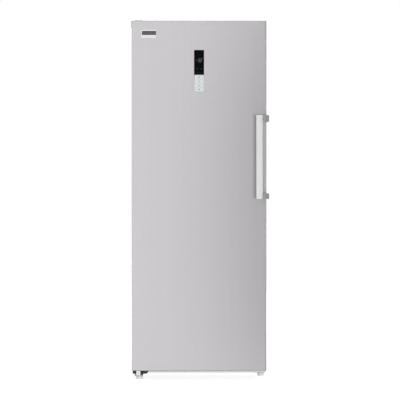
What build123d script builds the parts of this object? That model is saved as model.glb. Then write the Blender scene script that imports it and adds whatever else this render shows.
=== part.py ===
from build123d import *
import math
import os

os.makedirs("parts", exist_ok=True)

# An upright freezer with one left-hinged door, six drawers, fan cooling and a condenser on its back.
# Millimetres. X runs across the front, Y from the front to the back, Z up from the floor. While it is
# modelled, X is 0 at the cabinet's middle and Y is 0 at the cabinet's front face.

# ---------------------------------------------------------------- cabinet sizes
cabinet_width = 600.0
cabinet_depth = 556.0
cabinet_top = 1600.0
cabinet_bottom = 22.0
shell_sheet = 0.7
shell_corner = 3.0
shell_back_lip = 12.0
rail_sheet = 0.8
base_sheet = 1.5
liner_wall = 2.0
liner_lip = 10.0
side_insulation = 65.0
top_insulation = 58.0
floor_insulation = 62.0
back_insulation = 50.0
cavity_corner = 20.0
cavity_edge = 12.0
room_height = 213.0
room_depth = 228.0
room_insulation = 48.0
floor_pan_rise = 18.0
foam_gap = 0.2
sheet_gap = 0.1
fit_gap = 0.5
soft_gap = 0.3
pin_gap = 0.05
cut_past = 1.0

# ---------------------------------------------------------------- shelves and drawers
upper_compartments = 5
glass_thickness = 4.0
glass_side_gap = 2.0
shelf_front = 28.0
shelf_lift = 8.5
trim_depth = 8.0
trim_drop = 5.0
trim_round = 2.5
rib_height = 10.0
rib_reach = 9.0
drawer_front = 40.0
drawer_side_gap = 17.0
drawer_head_room = 32.1
low_drawer_head_room = 15.0
drawer_back_gap = 14.0
low_drawer_back_gap = 25.0
drawer_wall = 2.2
drawer_panel = 3.0
drawer_panel_rise = 8.0
drawer_corner = 14.0
drawer_foot_radius = 6.0
grip_width = 220.0
grip_reach = 12.0
grip_height = 20.0
grip_wall = 2.5
grip_round = 7.2
grip_drop = 4.0

# ---------------------------------------------------------------- cold air parts
cover_to_back = 82.0
cover_thickness = 3.0
slot_height = 5.0
slot_length = 56.0
slot_gap = 24.0
slot_row_pitch = 12.0
slot_drop = 22.0
slot_round = 2.45
return_slot_width = 8.0
return_slot_height = 20.0
return_slot_pitch = 24.0
return_slot_rise = 26.0
return_slots_each_side = 6
grille_pitch = 10.0
grille_slots_each_side = 4
grille_margin = 4.0
fan_rise = 477.0
fan_radius = 54.0
fan_tip_gap = 4.0
fan_hub_radius = 18.0
fan_hub_depth = 18.0
fan_hub_gap = 3.0
fan_hub_round = 4.0
fan_blades = 7
fan_blade_thickness = 2.0
fan_blade_chord = 26.0
fan_blade_tilt = 32.0
fan_blade_root = 4.0
fan_shaft_radius = 2.0
fan_shaft_end_gap = 3.0
shroud_depth = 24.0
shroud_wall = 3.0
motor_gap = 3.0
motor_radius = 24.0
motor_depth = 30.0
motor_bore_depth = 18.0
motor_round = 3.0
carrier_width = 140.0
carrier_height = 18.0
carrier_thickness = 4.0
carrier_post_spread = 62.0
carrier_post_radius = 6.0
evaporator_radius = 4.0
evaporator_passes = 8
evaporator_pitch = 38.0
evaporator_side_gap = 60.0
evaporator_rise = 57.0
evaporator_front_to_back = 56.0
evaporator_rear_to_back = 26.0
bend_slack = 1.0
fin_count = 18
fin_thickness = 1.0
fin_margin = 22.0
heater_radius = 4.0
tray_side_gap = 55.0
tray_front_to_back = 75.0
tray_rear_to_back = 22.0
tray_height = 15.0
tray_wall = 1.5
tray_corner = 6.0
tray_inner_corner = 4.0
drain_to_back = 48.0
drain_radius = 8.0
drain_bore = 6.0
drain_end_gap = 6.0
lamp_width = 180.0
lamp_depth = 40.0
lamp_height = 8.0
lamp_front = 50.0
lamp_wall = 2.0
lamp_round = 4.0

# ---------------------------------------------------------------- machine room parts
rail_plate_depth = 70.0
rear_rail_to_wall = 17.0
rear_rail_to_back = 11.0
rear_rail_rise = 13.0
compressor_x = 40.0
compressor_to_back = 116.0
compressor_half_width = 100.0
compressor_half_depth = 74.0
compressor_lift = 12.0
compressor_dome = 36.0
weld_rise = 70.0
weld_height = 5.0
weld_reach = 4.0
mount_plate = 3.0
mount_plate_margin_x = 18.0
mount_plate_margin_y = 16.0
mount_plate_corner = 14.0
mount_spread_x = 96.0
mount_spread_y = 64.0
grommet_radius = 12.0
grommet_neck = 7.0
grommet_cap = 9.0
grommet_cap_height = 2.5
port_drop = 49.0
port_radius = 7.0
port_reach = 8.0
discharge_aside = 40.0
relay_depth = 62.0
relay_width = 32.0
relay_height = 64.0
relay_rise = 40.0
relay_round = 5.0
drip_left = 100.0
drip_right = 90.0
drip_front = 66.0
drip_back = 66.0
drip_height = 18.0
drip_wall = 2.0
drip_corner = 10.0
drip_head_room = 18.0
drier_inset = 120.0
drier_to_back = 51.0
drier_drop = 49.0
drier_length = 100.0
drier_radius = 10.0
drier_neck = 3.5
drier_cone = 14.0
drier_stub = 22.0
pipe_radius = 2.4
pipe_bend = 12.0
pipe_rise = 28.0
pipe_rail_gap = 2.0
suction_radius = 4.0
suction_bend = 14.0
suction_inlet_bend = 12.0
suction_aside = 40.0
suction_drop = 39.0
capillary_radius = 1.2
capillary_bend = 10.0
capillary_drop = 24.0
pipe_wall_inset = 21.0
pipe_inlet_reach = 14.0
roller_radius = 12.5
roller_width = 20.0
roller_round = 1.5
roller_inset = 45.0
roller_to_back = 51.0
axle_radius = 3.0
fork_sheet = 2.0
fork_gap = 1.0
fork_width = 30.0
fork_below_axle = 6.0

# ---------------------------------------------------------------- condenser on the back
condenser_offset = 14.0
condenser_inset = 60.0
condenser_rise = 310.0
condenser_head_room = 168.0
condenser_pitch = 50.0
condenser_end_drop = 10.0
riser_inset = 38.0
wire_radius = 0.75
wire_count = 23
wire_margin = 14.0
clip_wire_gap = 1.0
clip_height = 14.0
clip_lip = 2.0
clip_passes_in = 2
clip_wires_in = 1.5
gland_inset = 100.0
gland_rise = 27.0
gland_radius = 9.0
gland_bore = 4.0
gland_length = 14.0
gland_flange = 14.0
gland_flange_thickness = 2.5

# ---------------------------------------------------------------- door
door_side_step = 0.0
door_top_drop = 2.0
door_bottom_rise = 20.0
door_gap = 12.0
door_thickness = 58.0
door_sheet = 0.7
door_corner = 6.0
door_back_lip = 14.0
cap_lip = 2.0
cap_height = 27.0
cap_wall = 2.5
cap_tab_reach = 2.0
cap_tab_length = 38.0
door_liner_wall = 2.0
plateau_reach = 18.0
plateau_margin = 13.0
plateau_corner = 18.0
plateau_edge = 8.0
gasket_overlap = 11.0
gasket_width = 22.0
gasket_corner = 8.0

# ---------------------------------------------------------------- display, keys and badge
panel_width = 43.6
panel_drop = 130.0
panel_gap = 0.2
display_height = 110.4
display_thickness = 2.5
display_proud = 0.6
display_round = 0.5
key_count = 4
key_pitch = 18.15
key_gap = 0.25
key_thickness = 2.5
key_proud = 0.8
key_round = 0.6
key_travel = 0.8
plunger_radius = 2.5
housing_wall = 1.5
housing_depth = 20.0
housing_proud = 0.2
board_thickness = 1.6
board_post = 4.0
board_post_inset = 4.5
board_gap = 1.0
switch_size = 6.0
switch_height = 3.0
display_module_width = 32.0
display_module_gap = 1.0
display_module_low = 20.0
display_module_high = 12.0
badge_inset = 43.0
badge_width = 66.0
badge_drop = 39.5
badge_height = 37.0
badge_thickness = 1.6
badge_corner = 3.0
badge_round = 0.5

# ---------------------------------------------------------------- handle
handle_inset = 20.5
handle_width = 28.0
handle_thickness = 12.0
handle_drop = 423.0
handle_length = 369.0
handle_standoff = 36.0
handle_edge = 4.5
handle_back_edge = 1.5
bracket_height = 25.0
bracket_arm = 9.0
bracket_front = 14.0
bracket_outer_radius = 14.0
bracket_inner_radius = 6.0
bracket_tail = 26.0
bracket_tongue = 21.0
bracket_tongue_thickness = 3.0
bracket_set_back = 1.0
handle_screw_setbacks = (10.0, 32.0)

# ---------------------------------------------------------------- hinges, feet and screws
hinge_inset = 28.0
hinge_setback = 30.0
upper_pin_radius = 4.0
lower_pin_radius = 5.0
upper_pin_depth = 18.0
lower_pin_depth = 20.0
bush_radius = 8.0
bush_wall = 4.5
bush_end_gap = 1.0
bush_flange_radius = 12.0
bush_flange = 1.0
hinge_plate = 3.0
upper_plate_left = 4.0
upper_plate_width = 60.0
upper_plate_front = 6.0
upper_plate_back = 66.0
upper_plate_corner = 5.0
upper_arm_width = 36.0
upper_arm_reach = 14.0
upper_arm_back = 12.0
upper_arm_corner = 10.0
upper_screw_places = ((12.0, 24.0), (48.0, 24.0), (30.0, 54.0))
hinge_cover_height = 11.0
hinge_cover_margin = 4.0
hinge_cover_wall = 2.0
hinge_cover_front = 2.0
hinge_cover_corner = 6.0
hinge_cover_edge = 3.0
lower_flange_width = 71.0
lower_flange_height = 27.0
lower_flange_cut = 8.0
lower_screw_margins = (7.0, 8.0)
lower_tab_left = 16.0
lower_tab_width = 37.0
lower_tab_reach = 16.0
lower_tab_corner = 6.0
lower_lip = 6.0
cam_left = 9.0
cam_right = 10.0
cam_front = 10.0
cam_back = 8.5
cam_corner = 3.0
foot_radius = 15.0
foot_edge = 2.0
stem_radius = 4.0
nut_radius = 7.5
nut_height = 3.5
left_foot_aside = 5.0
left_foot_behind = 14.0
left_stem_rise = 9.0
right_foot_inset = 18.0
right_foot_y = 49.0
right_stem_rise = 14.0
foot_bracket_width = 30.0
foot_bracket_thickness = 5.0
screw_radius = 2.0
screw_hole_gap = 0.1
screw_length = 12.0
screw_head_radius = 4.0
screw_head_height = 2.2

# ---------------------------------------------------------------- places in the cabinet
half_width = cabinet_width / 2
cavity_half = half_width - side_insulation
cavity_floor = cabinet_bottom + floor_insulation
cavity_top = cabinet_top - top_insulation
cavity_back = cabinet_depth - back_insulation
room_top = cabinet_bottom + room_height
room_front = cabinet_depth - room_depth
step_top = room_top + room_insulation
step_front = room_front - room_insulation
pan_level = cabinet_bottom + floor_pan_rise
liner_front = rail_sheet + foam_gap
gasket_inner_x = cavity_half + gasket_overlap
gasket_inner_bottom = cavity_floor - gasket_overlap
gasket_inner_top = cavity_top + gasket_overlap
cover_front = cavity_back - cover_to_back
cover_back = cover_front + cover_thickness
fan_height = step_top + fan_rise
evaporator_half_width = cavity_half - evaporator_side_gap
evaporator_front = cavity_back - evaporator_front_to_back
evaporator_rear = cavity_back - evaporator_rear_to_back
evaporator_bottom = step_top + evaporator_rise
tray_half_width = cavity_half - tray_side_gap
tray_front = cavity_back - tray_front_to_back
tray_back = cavity_back - tray_rear_to_back
drain_y = cavity_back - drain_to_back
shelf_pitch = (cavity_top - step_top - shelf_lift) / upper_compartments
shelf_levels = [step_top + shelf_lift + i * shelf_pitch for i in range(upper_compartments)]
drawer_width = 2 * (cavity_half - drawer_side_gap)
drawer_height = shelf_pitch - drawer_head_room
drawer_depth = cover_front - drawer_front - drawer_back_gap
low_drawer_height = step_top - cavity_floor - low_drawer_head_room
low_drawer_depth = step_front - drawer_front - low_drawer_back_gap

# ---------------------------------------------------------------- places in the machine room
rear_rail_front = room_front + rear_rail_to_wall
rear_rail_back = cabinet_depth - rear_rail_to_back
rear_rail_top = cabinet_bottom + rear_rail_rise
compressor_y = cabinet_depth - compressor_to_back
compressor_bottom = rear_rail_top + compressor_lift
compressor_top = room_top - drip_height - drip_head_room
port_height = compressor_top - port_drop
discharge_x = compressor_x + discharge_aside
discharge_share = math.sqrt(1 - (discharge_aside / compressor_half_width) ** 2)
discharge_face = compressor_y + compressor_half_depth * discharge_share
drier_x = -half_width + drier_inset
drier_y = cabinet_depth - drier_to_back
drier_top = room_top - drier_drop
suction_level = room_top - suction_drop
capillary_level = drier_top - drier_length - capillary_drop
pipe_wall_x = -cavity_half + pipe_wall_inset
pipe_inlet_x = pipe_wall_x + pipe_inlet_reach
roller_x = half_width - roller_inset
roller_y = cabinet_depth - roller_to_back
back_face = cabinet_depth + shell_sheet
condenser_y = back_face + condenser_offset
condenser_half_width = half_width - condenser_inset
condenser_bend = condenser_pitch / 2 - bend_slack
condenser_bottom = cabinet_bottom + condenser_rise
condenser_pairs = int((cabinet_top - condenser_head_room - condenser_bottom) / (2 * condenser_pitch))
condenser_levels = [condenser_bottom + i * condenser_pitch for i in range(2 * condenser_pairs + 1)]
condenser_end = room_top - condenser_end_drop
riser_x = half_width - riser_inset
wire_half_spread = condenser_half_width - condenser_bend
wire_step = 2 * wire_half_spread / (wire_count - 1)
clip_width = wire_step - 2 * (wire_radius + clip_wire_gap)
gland_x = half_width - gland_inset
gland_height = room_top + gland_rise

# ---------------------------------------------------------------- places on the door
door_width = cabinet_width - 2 * door_side_step
door_half = door_width / 2
door_top = cabinet_top - door_top_drop
door_bottom = cabinet_bottom + door_bottom_rise
door_back = -door_gap
door_front = door_back - door_thickness
door_liner_back = door_back - door_sheet - foam_gap
hinge_x = -door_half + hinge_inset
hinge_y = door_back - hinge_setback
panel_top = door_top - panel_drop
key_area_top = panel_top - display_height
panel_bottom = key_area_top - key_count * key_pitch - 2 * housing_wall
board_front = door_front + housing_depth - housing_wall - board_post - board_thickness
badge_left = -door_half + badge_inset
badge_top = door_top - badge_drop
handle_right = door_half - handle_inset
handle_left = handle_right - handle_width
handle_top = door_top - handle_drop
handle_bottom = handle_top - handle_length
handle_back = door_front - handle_standoff
handle_front = handle_back - handle_thickness

# ---------------------------------------------------------------- places of the hinges and feet
lower_flange_bottom = cabinet_bottom - foot_bracket_thickness
lower_flange_top = lower_flange_bottom + lower_flange_height
lower_plate_top = lower_flange_bottom + hinge_plate
foot_disc = lower_flange_bottom - nut_height - fit_gap
left_foot_x = hinge_x + left_foot_aside
left_foot_y = hinge_y + left_foot_behind
left_stem_top = cabinet_bottom + left_stem_rise
right_foot_x = half_width - right_foot_inset
right_stem_top = cabinet_bottom + right_stem_rise

nodes = {}


# ---------------------------------------------------------------- shape helpers
def block(x0, x1, y0, y1, z0, z1):
    """A box from its lowest to its highest corner."""
    return Pos(x0, y0, z0) * Box(x1 - x0, y1 - y0, z1 - z0, align=(Align.MIN, Align.MIN, Align.MIN))


def rod(start, direction, radius, length):
    """A round bar from a point along a direction."""
    plane = Plane(origin=start, z_dir=direction)
    return plane * Cylinder(radius, length, align=(Align.CENTER, Align.CENTER, Align.MIN))


def upright(x, y, z0, z1, radius):
    """A round bar that stands on end."""
    return rod((x, y, z0), (0, 0, 1), radius, z1 - z0)


def plan_block(x0, x1, y0, y1, z0, z1, radius):
    """A box whose four upright edges are rounded."""
    solid = block(x0, x1, y0, y1, z0, z1)
    return fillet(solid.edges().filter_by(Axis.Z), radius)


def front_block(x0, x1, y0, y1, z0, z1, radius):
    """A box whose four edges along Y are rounded."""
    solid = block(x0, x1, y0, y1, z0, z1)
    return fillet(solid.edges().filter_by(Axis.Y), radius)


def side_profile(points, half_length):
    """An outline in Y and Z, made as long as the cabinet is wide."""
    face = make_face(Plane.YZ * Polyline(*points, close=True))
    return extrude(face, half_length, both=True)


def tube(points, radii, radius, bore=0.0):
    """A pipe along straight runs joined by arcs."""
    path = FilletPolyline(*points, radius=radii)
    section = Circle(radius)
    if bore:
        section -= Circle(bore)
    start = Plane(origin=path @ 0, z_dir=path % 0)
    return sweep(start * section, path=path)


def screw(tip, direction):
    """A pan head screw: tip is where its head sits, direction is the way its shank goes."""
    shank = rod(tip, direction, screw_radius, screw_length)
    back = tuple(-c for c in direction)
    head = rod(tip, back, screw_head_radius, screw_head_height)
    return shank + head


def screw_hole(tip, direction, before=screw_head_height):
    """The clearance hole for a screw, begun a little before its head."""
    start = tuple(t - d * before for t, d in zip(tip, direction))
    radius = screw_radius + screw_hole_gap
    return rod(start, direction, radius, screw_length + before + screw_hole_gap)


def cavity(grow):
    """The inside of the liner, grown outwards by a wall thickness."""
    floor = cavity_floor - grow
    step = step_top - grow
    ceiling = cavity_top + grow
    front_wall = step_front + grow
    rear_wall = cavity_back + grow
    points = [
        (0, floor), (front_wall, floor), (front_wall, step),
        (rear_wall, step), (rear_wall, ceiling), (0, ceiling),
    ]
    face = make_face(Plane.YZ * Polyline(*points, close=True))
    nose = Vector(0, front_wall, step)
    hollow = [v for v in face.vertices() if v.Y > cut_past and (v.center() - nose).length > cut_past]
    face = fillet(hollow, cavity_corner + grow)
    face = fillet([v for v in face.vertices() if (v.center() - nose).length < cut_past], cavity_corner - grow)
    half = cavity_half + grow
    solid = extrude(face, half, both=True)
    rims = solid.edges().group_by(Axis.X)[0] + solid.edges().group_by(Axis.X)[-1]
    return fillet([rim for rim in rims if rim.center().Y > cut_past], cavity_edge + grow)


# ---------------------------------------------------------------- cabinet
upper_screw_tips = [
    (-half_width + upper_plate_left + x, y, cabinet_top + hinge_plate) for x, y in upper_screw_places
]
lower_screw_level = (lower_flange_bottom + lower_flange_top) / 2 + hinge_plate
lower_screw_xs = (
    -half_width + lower_screw_margins[0], -half_width + lower_flange_width - lower_screw_margins[1],
)
lower_screw_tips = [(x, -hinge_plate, lower_screw_level) for x in lower_screw_xs]
upper_holes = [screw_hole(tip, (0, 0, -1)) for tip in upper_screw_tips]
lower_holes = [screw_hole(tip, (0, 1, 0)) for tip in lower_screw_tips]


def make_shell():
    """The outer steel wrap: both sides and the top in one sheet, with a front face and back lips."""
    outer = front_block(-half_width, half_width, 0, cabinet_depth, cabinet_bottom, cabinet_top, shell_corner)
    square_top = cabinet_bottom + 2 * shell_corner
    outer += block(-half_width, half_width, 0, cabinet_depth, cabinet_bottom, square_top)
    side = half_width - shell_sheet
    top = cabinet_top - shell_sheet
    lip = shell_sheet
    low = cabinet_bottom - cut_past
    back = cabinet_depth + cut_past
    inner = block(-side, side, lip, cabinet_depth - lip, low, top)
    shell = outer - inner
    shell -= block(-gasket_inner_x, gasket_inner_x, -cut_past, lip + cut_past, low, gasket_inner_top)
    window = half_width - shell_back_lip
    shell -= block(-window, window, cabinet_depth - lip - cut_past, back, low, cabinet_top - shell_back_lip)
    return shell - upper_holes - lower_holes


def make_machine_room_panel():
    """One bent sheet: the floor pan, the machine room's front wall and its ceiling."""
    front = liner_front
    back = cabinet_depth - shell_sheet - sheet_gap
    s = rail_sheet
    points = [
        (front, pan_level), (room_front, pan_level), (room_front, room_top), (back, room_top),
        (back, room_top + s), (room_front - s, room_top + s), (room_front - s, pan_level + s),
        (front, pan_level + s),
    ]
    panel = side_profile(points, half_width - shell_sheet - sheet_gap)
    return panel - pipe_passages(foam_gap)


def pipe_passages(gap):
    """The ways of the drain pipe, the suction pipe and the capillary through the insulation."""
    low = room_top - cut_past
    high = step_top + cut_past
    drain = upright(0, drain_y, low, high, drain_radius + gap)
    suction = upright(pipe_wall_x, evaporator_rear, low, high, suction_radius + gap)
    capillary = upright(pipe_wall_x, evaporator_front, low, high, capillary_radius + gap)
    return [drain, suction, capillary]


def make_cabinet_foam():
    """The insulation between the wrap and the liner."""
    side = half_width - shell_sheet - foam_gap
    front = liner_front + liner_wall + foam_gap
    back = cabinet_depth - shell_sheet - foam_gap
    low = pan_level + rail_sheet + foam_gap
    body = block(-side, side, front, back, low, cabinet_top - shell_sheet - foam_gap)
    room = block(
        -half_width, half_width, room_front - rail_sheet - foam_gap, cabinet_depth, low - cut_past,
        room_top + rail_sheet + foam_gap,
    )
    return body - room - cavity(liner_wall + foam_gap) - pipe_passages(foam_gap) - upper_holes


def make_liner():
    """The vacuum formed inner liner with its front lip and the ribs that carry the shelves."""
    wide = gasket_inner_x + liner_lip
    low = gasket_inner_bottom - liner_lip
    high = gasket_inner_top + liner_lip
    lip = block(-wide, wide, liner_front, liner_front + liner_wall, low, high)
    skin = cavity(liner_wall) & block(-half_width, half_width, liner_front, cabinet_depth, 0, cabinet_top)
    liner = lip + skin - cavity(0)
    rib_back = cover_front - glass_side_gap
    for level in shelf_levels:
        for side in (-1, 1):
            edges = sorted((side * (cavity_half - rib_reach), side * (cavity_half + liner_wall / 2)))
            rib = block(*edges, shelf_front, rib_back, level - rib_height, level)
            liner += rib & cavity(liner_wall)
    return liner - pipe_passages(foam_gap)


def make_shelves():
    """The five glass shelves, which lie on the liner's ribs."""
    half = cavity_half - glass_side_gap
    back = cover_front - glass_side_gap
    return [
        plan_block(-half, half, shelf_front, back, level, level + glass_thickness, glass_thickness)
        for level in shelf_levels
    ]


def make_shelf_trims():
    """The moulded trim along each shelf's front edge: a channel that grips the glass from below."""
    half = cavity_half - glass_side_gap
    trims = []
    for level in shelf_levels:
        low = level - trim_drop
        bar = block(-half, half, shelf_front - trim_depth, shelf_front, low, level + glass_thickness)
        foot = block(-half + rib_reach, half - rib_reach, shelf_front, shelf_front + trim_depth, low, level)
        nose = bar.edges().filter_by(Axis.X).group_by(Axis.Y)[0]
        trims.append(fillet(nose, trim_round) + foot)
    return trims


def make_evaporator_cover():
    """The plate in front of the evaporator, with its air slots and the ring round the fan."""
    half = cavity_half - fit_gap
    corner = cavity_edge + 2 * fit_gap
    front = cover_front - cut_past
    back = cover_back + cut_past
    bottom = step_top + fit_gap
    cover = front_block(-half, half, cover_front, cover_back, bottom, cavity_top - fit_gap, corner)
    for level in shelf_levels:
        for column in (-2, -1, 1, 2):
            for row in (0, 1):
                z = level + shelf_pitch - slot_drop - row * slot_row_pitch
                cover -= front_slot(column * (slot_length + slot_gap), z, slot_length)
    low = step_top + return_slot_rise
    for column in range(-return_slots_each_side, return_slots_each_side + 1):
        left = column * return_slot_pitch - return_slot_width / 2
        cover -= block(left, left + return_slot_width, front, back, low, low + return_slot_height)
    for row in range(-grille_slots_each_side, grille_slots_each_side + 1):
        aside = row * grille_pitch
        chord = 2 * math.sqrt(fan_radius**2 - aside**2) - 2 * grille_margin
        cover -= front_slot(0, fan_height + aside, chord)
    ring_radius = fan_radius + fan_tip_gap
    ring = rod((0, cover_back, fan_height), (0, 1, 0), ring_radius + shroud_wall, shroud_depth)
    ring -= rod((0, cover_back, fan_height), (0, 1, 0), ring_radius, shroud_depth)
    return cover + ring


def front_slot(x, z, length):
    """The cut for one air slot with round ends."""
    half = length / 2
    low = z - slot_height / 2
    return front_block(
        x - half, x + half, cover_front - cut_past, cover_back + cut_past, low, low + slot_height, slot_round
    )


def make_evaporator():
    """The finned evaporator: one tube that climbs in front and comes down behind, through its fins."""
    end = evaporator_half_width + evaporator_pitch / 2
    levels = [evaporator_bottom + i * evaporator_pitch for i in range(evaporator_passes)]
    points = [(pipe_inlet_x, evaporator_front, levels[0])]
    side = 1
    for i, level in enumerate(levels):
        if i:
            points.append((-side * end, evaporator_front, level))
        points.append((side * end, evaporator_front, level))
        side = -side
    points.append((-end, evaporator_rear, levels[-1]))
    side = 1
    for i, level in enumerate(reversed(levels)):
        if i:
            points.append((-side * end, evaporator_rear, level))
        points.append((side * end, evaporator_rear, level))
        side = -side
    points[-1] = (pipe_inlet_x, evaporator_rear, levels[0])
    bend = min(evaporator_pitch, evaporator_rear - evaporator_front) / 2 - bend_slack
    coil = tube(points, bend, evaporator_radius)
    fin_front = cover_back + fin_thickness * 2
    fin_back = cavity_back - fit_gap
    low = levels[0] - fin_margin
    high = levels[-1] + fin_margin
    plate = block(0, fin_thickness, fin_front, fin_back, low, high)
    through = fin_thickness + 2 * cut_past
    for level in levels:
        for y in (evaporator_front, evaporator_rear):
            plate -= rod((-cut_past, y, level), (1, 0, 0), evaporator_radius + foam_gap, through)
    middle = (evaporator_front + evaporator_rear) / 2
    notch = heater_radius + foam_gap
    plate -= rod((-cut_past, middle, low + heater_radius), (1, 0, 0), notch, through)
    plate -= block(
        -cut_past, fin_thickness + cut_past, middle - notch, middle + notch,
        low - cut_past, low + heater_radius,
    )
    spread = 2 * evaporator_half_width - 3 * evaporator_radius
    step = spread / (fin_count - 1)
    fins = [Pos(-spread / 2 + i * step - fin_thickness / 2, 0, 0) * plate for i in range(fin_count)]
    return [coil] + fins


def make_heater():
    """The defrost heater, a sheathed rod in notches along the fins' lower edge."""
    y = (evaporator_front + evaporator_rear) / 2
    z = evaporator_bottom - fin_margin + heater_radius
    length = 2 * evaporator_half_width
    return rod((-evaporator_half_width, y, z), (1, 0, 0), heater_radius, length)


def make_drain_tray():
    """The tray that catches the defrost water, with the hole of its drain."""
    low = step_top + foam_gap
    high = low + tray_height
    w = tray_wall
    half = tray_half_width
    tray = plan_block(-half, half, tray_front, tray_back, low, high, tray_corner)
    tray -= plan_block(
        -half + w, half - w, tray_front + w, tray_back - w, low + w, high + cut_past, tray_inner_corner
    )
    return tray - upright(0, drain_y, low - cut_past, high, drain_bore)


def make_drain_pipe():
    """The pipe that takes the defrost water through the insulation to the drip tray."""
    low = compressor_top + drip_wall + drain_end_gap
    bore = upright(0, drain_y, low - cut_past, step_top + cut_past, drain_bore)
    return upright(0, drain_y, low, step_top, drain_radius) - bore


def make_fan_motor():
    """The fan motor on its carrier, which stands off the liner's back wall."""
    front = cover_back + shroud_depth + motor_gap
    back = front + motor_depth
    motor = rod((0, front, fan_height), (0, 1, 0), motor_radius, motor_depth)
    motor = fillet(motor.edges().filter_by(GeomType.CIRCLE), motor_round)
    half = carrier_width / 2
    low = fan_height - carrier_height / 2
    bar = block(-half, half, back - sheet_gap, back + carrier_thickness, low, low + carrier_height)
    length = cavity_back - soft_gap - back
    posts = [
        rod((side * carrier_post_spread, back, fan_height), (0, 1, 0), carrier_post_radius, length)
        for side in (-1, 1)
    ]
    bore = rod((0, front, fan_height), (0, 1, 0), fan_shaft_radius + pin_gap, motor_bore_depth)
    return motor + bar + posts - bore


def make_fan_blade():
    """The fan wheel: a hub with its shaft and twisted-on blades."""
    hub_front = cover_back + fan_hub_gap
    hub_back = hub_front + fan_hub_depth
    centre = (0, hub_front, fan_height)
    hub = rod(centre, (0, 1, 0), fan_hub_radius, fan_hub_depth)
    hub = fillet(hub.edges().filter_by(GeomType.CIRCLE).group_by(Axis.Y)[0], fan_hub_round)
    reach = fan_radius - fan_hub_radius + fan_blade_root
    margin = fan_blade_thickness / 2
    limit = rod((0, hub_front + margin, fan_height), (0, 1, 0), fan_radius, fan_hub_depth - 2 * margin)
    wheel = hub
    outward = (Align.MIN, Align.CENTER, Align.CENTER)
    for i in range(fan_blades):
        blade = Box(reach, fan_blade_thickness, fan_blade_chord, align=outward)
        blade = Pos(fan_hub_radius - fan_blade_root, 0, 0) * Rot(fan_blade_tilt, 0, 0) * blade
        blade = Rot(0, i * 360 / fan_blades, 0) * blade
        wheel += (Pos(0, (hub_front + hub_back) / 2, fan_height) * blade) & limit
    shaft_end = cover_back + shroud_depth + motor_gap + motor_bore_depth - fan_shaft_end_gap
    return wheel + rod((0, hub_front, fan_height), (0, 1, 0), fan_shaft_radius, shaft_end - hub_front)


def make_lamp_cover():
    """The clear cover of the lamp in the cavity's ceiling."""
    top = cavity_top - sheet_gap
    half = lamp_width / 2
    back = lamp_front + lamp_depth
    cover = block(-half, half, lamp_front, back, top - lamp_height, top)
    cover = fillet(cover.edges().group_by(Axis.Z)[0], lamp_round)
    w = lamp_wall
    return cover - block(-half + w, half - w, lamp_front + w, back - w, top - lamp_height + w, top + cut_past)


def make_base_rails():
    """The steel rails across the cabinet's bottom, at the front under the door and behind."""
    s = rail_sheet
    between = gasket_inner_x - sheet_gap
    face = block(-between, between, 0, s, cabinet_bottom, gasket_inner_bottom)
    inside = half_width - shell_sheet - sheet_gap
    plate = block(-inside, inside, max(s, shell_sheet), rail_plate_depth, cabinet_bottom, cabinet_bottom + s)
    stem_hole = upright(right_foot_x, right_foot_y, 0, pan_level, stem_radius + pin_gap)
    front = face + plate - stem_hole - lower_holes
    b = base_sheet
    rear = block(-inside, inside, rear_rail_front, rear_rail_back, rear_rail_top - b, rear_rail_top)
    rear += block(-inside, inside, rear_rail_front, rear_rail_front + b, cabinet_bottom, rear_rail_top)
    rear += block(-inside, inside, rear_rail_back - b, rear_rail_back, cabinet_bottom, rear_rail_top)
    return [front, rear]


def oval(grow, z0, z1):
    """An oval slab round the compressor's middle."""
    face = Ellipse(compressor_half_width + grow, compressor_half_depth + grow)
    return extrude(Pos(compressor_x, compressor_y, z0) * face, z1 - z0)


def mount_points():
    """The middles of the compressor's four mounts."""
    return [
        (compressor_x + sx * mount_spread_x, compressor_y + sy * mount_spread_y)
        for sx in (-1, 1) for sy in (-1, 1)
    ]


def make_compressor():
    """The sealed compressor: a domed shell with its weld seam, foot plate and pipe ports."""
    low = compressor_bottom
    plate_bottom = low - mount_plate
    body = oval(0, plate_bottom, compressor_top)
    body = fillet(body.edges().group_by(Axis.Z)[-1], compressor_dome)
    body += oval(weld_reach, low + weld_rise, low + weld_rise + weld_height)
    reach_x = mount_spread_x + mount_plate_margin_x
    reach_y = mount_spread_y + mount_plate_margin_y
    body += plan_block(
        compressor_x - reach_x, compressor_x + reach_x, compressor_y - reach_y, compressor_y + reach_y,
        plate_bottom, low, mount_plate_corner,
    )
    left = compressor_x - compressor_half_width
    body += rod((left + port_reach, compressor_y, port_height), (-1, 0, 0), port_radius, 2 * port_reach)
    rear = (discharge_x, discharge_face - port_reach, port_height)
    body += rod(rear, (0, 1, 0), port_radius, 2 * port_reach)
    for x, y in mount_points():
        body -= upright(x, y, plate_bottom - cut_past, low + cut_past, grommet_neck + pin_gap)
    return body


def make_grommets():
    """The four rubber mounts of the compressor."""
    mounts = []
    for x, y in mount_points():
        foot = upright(x, y, rear_rail_top, compressor_bottom - mount_plate, grommet_radius)
        neck = upright(x, y, rear_rail_top, compressor_bottom, grommet_neck)
        cap = upright(x, y, compressor_bottom, compressor_bottom + grommet_cap_height, grommet_cap)
        mounts.append(foot + neck + cap)
    return mounts


def make_relay_box():
    """The cover of the starter relay on the compressor's right side."""
    left = compressor_x + compressor_half_width + weld_reach + soft_gap
    low = compressor_bottom + relay_rise
    half = relay_depth / 2
    box = block(left, left + relay_width, compressor_y - half, compressor_y + half, low, low + relay_height)
    return fillet(box.edges().group_by(Axis.X)[-1], relay_round)


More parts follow.
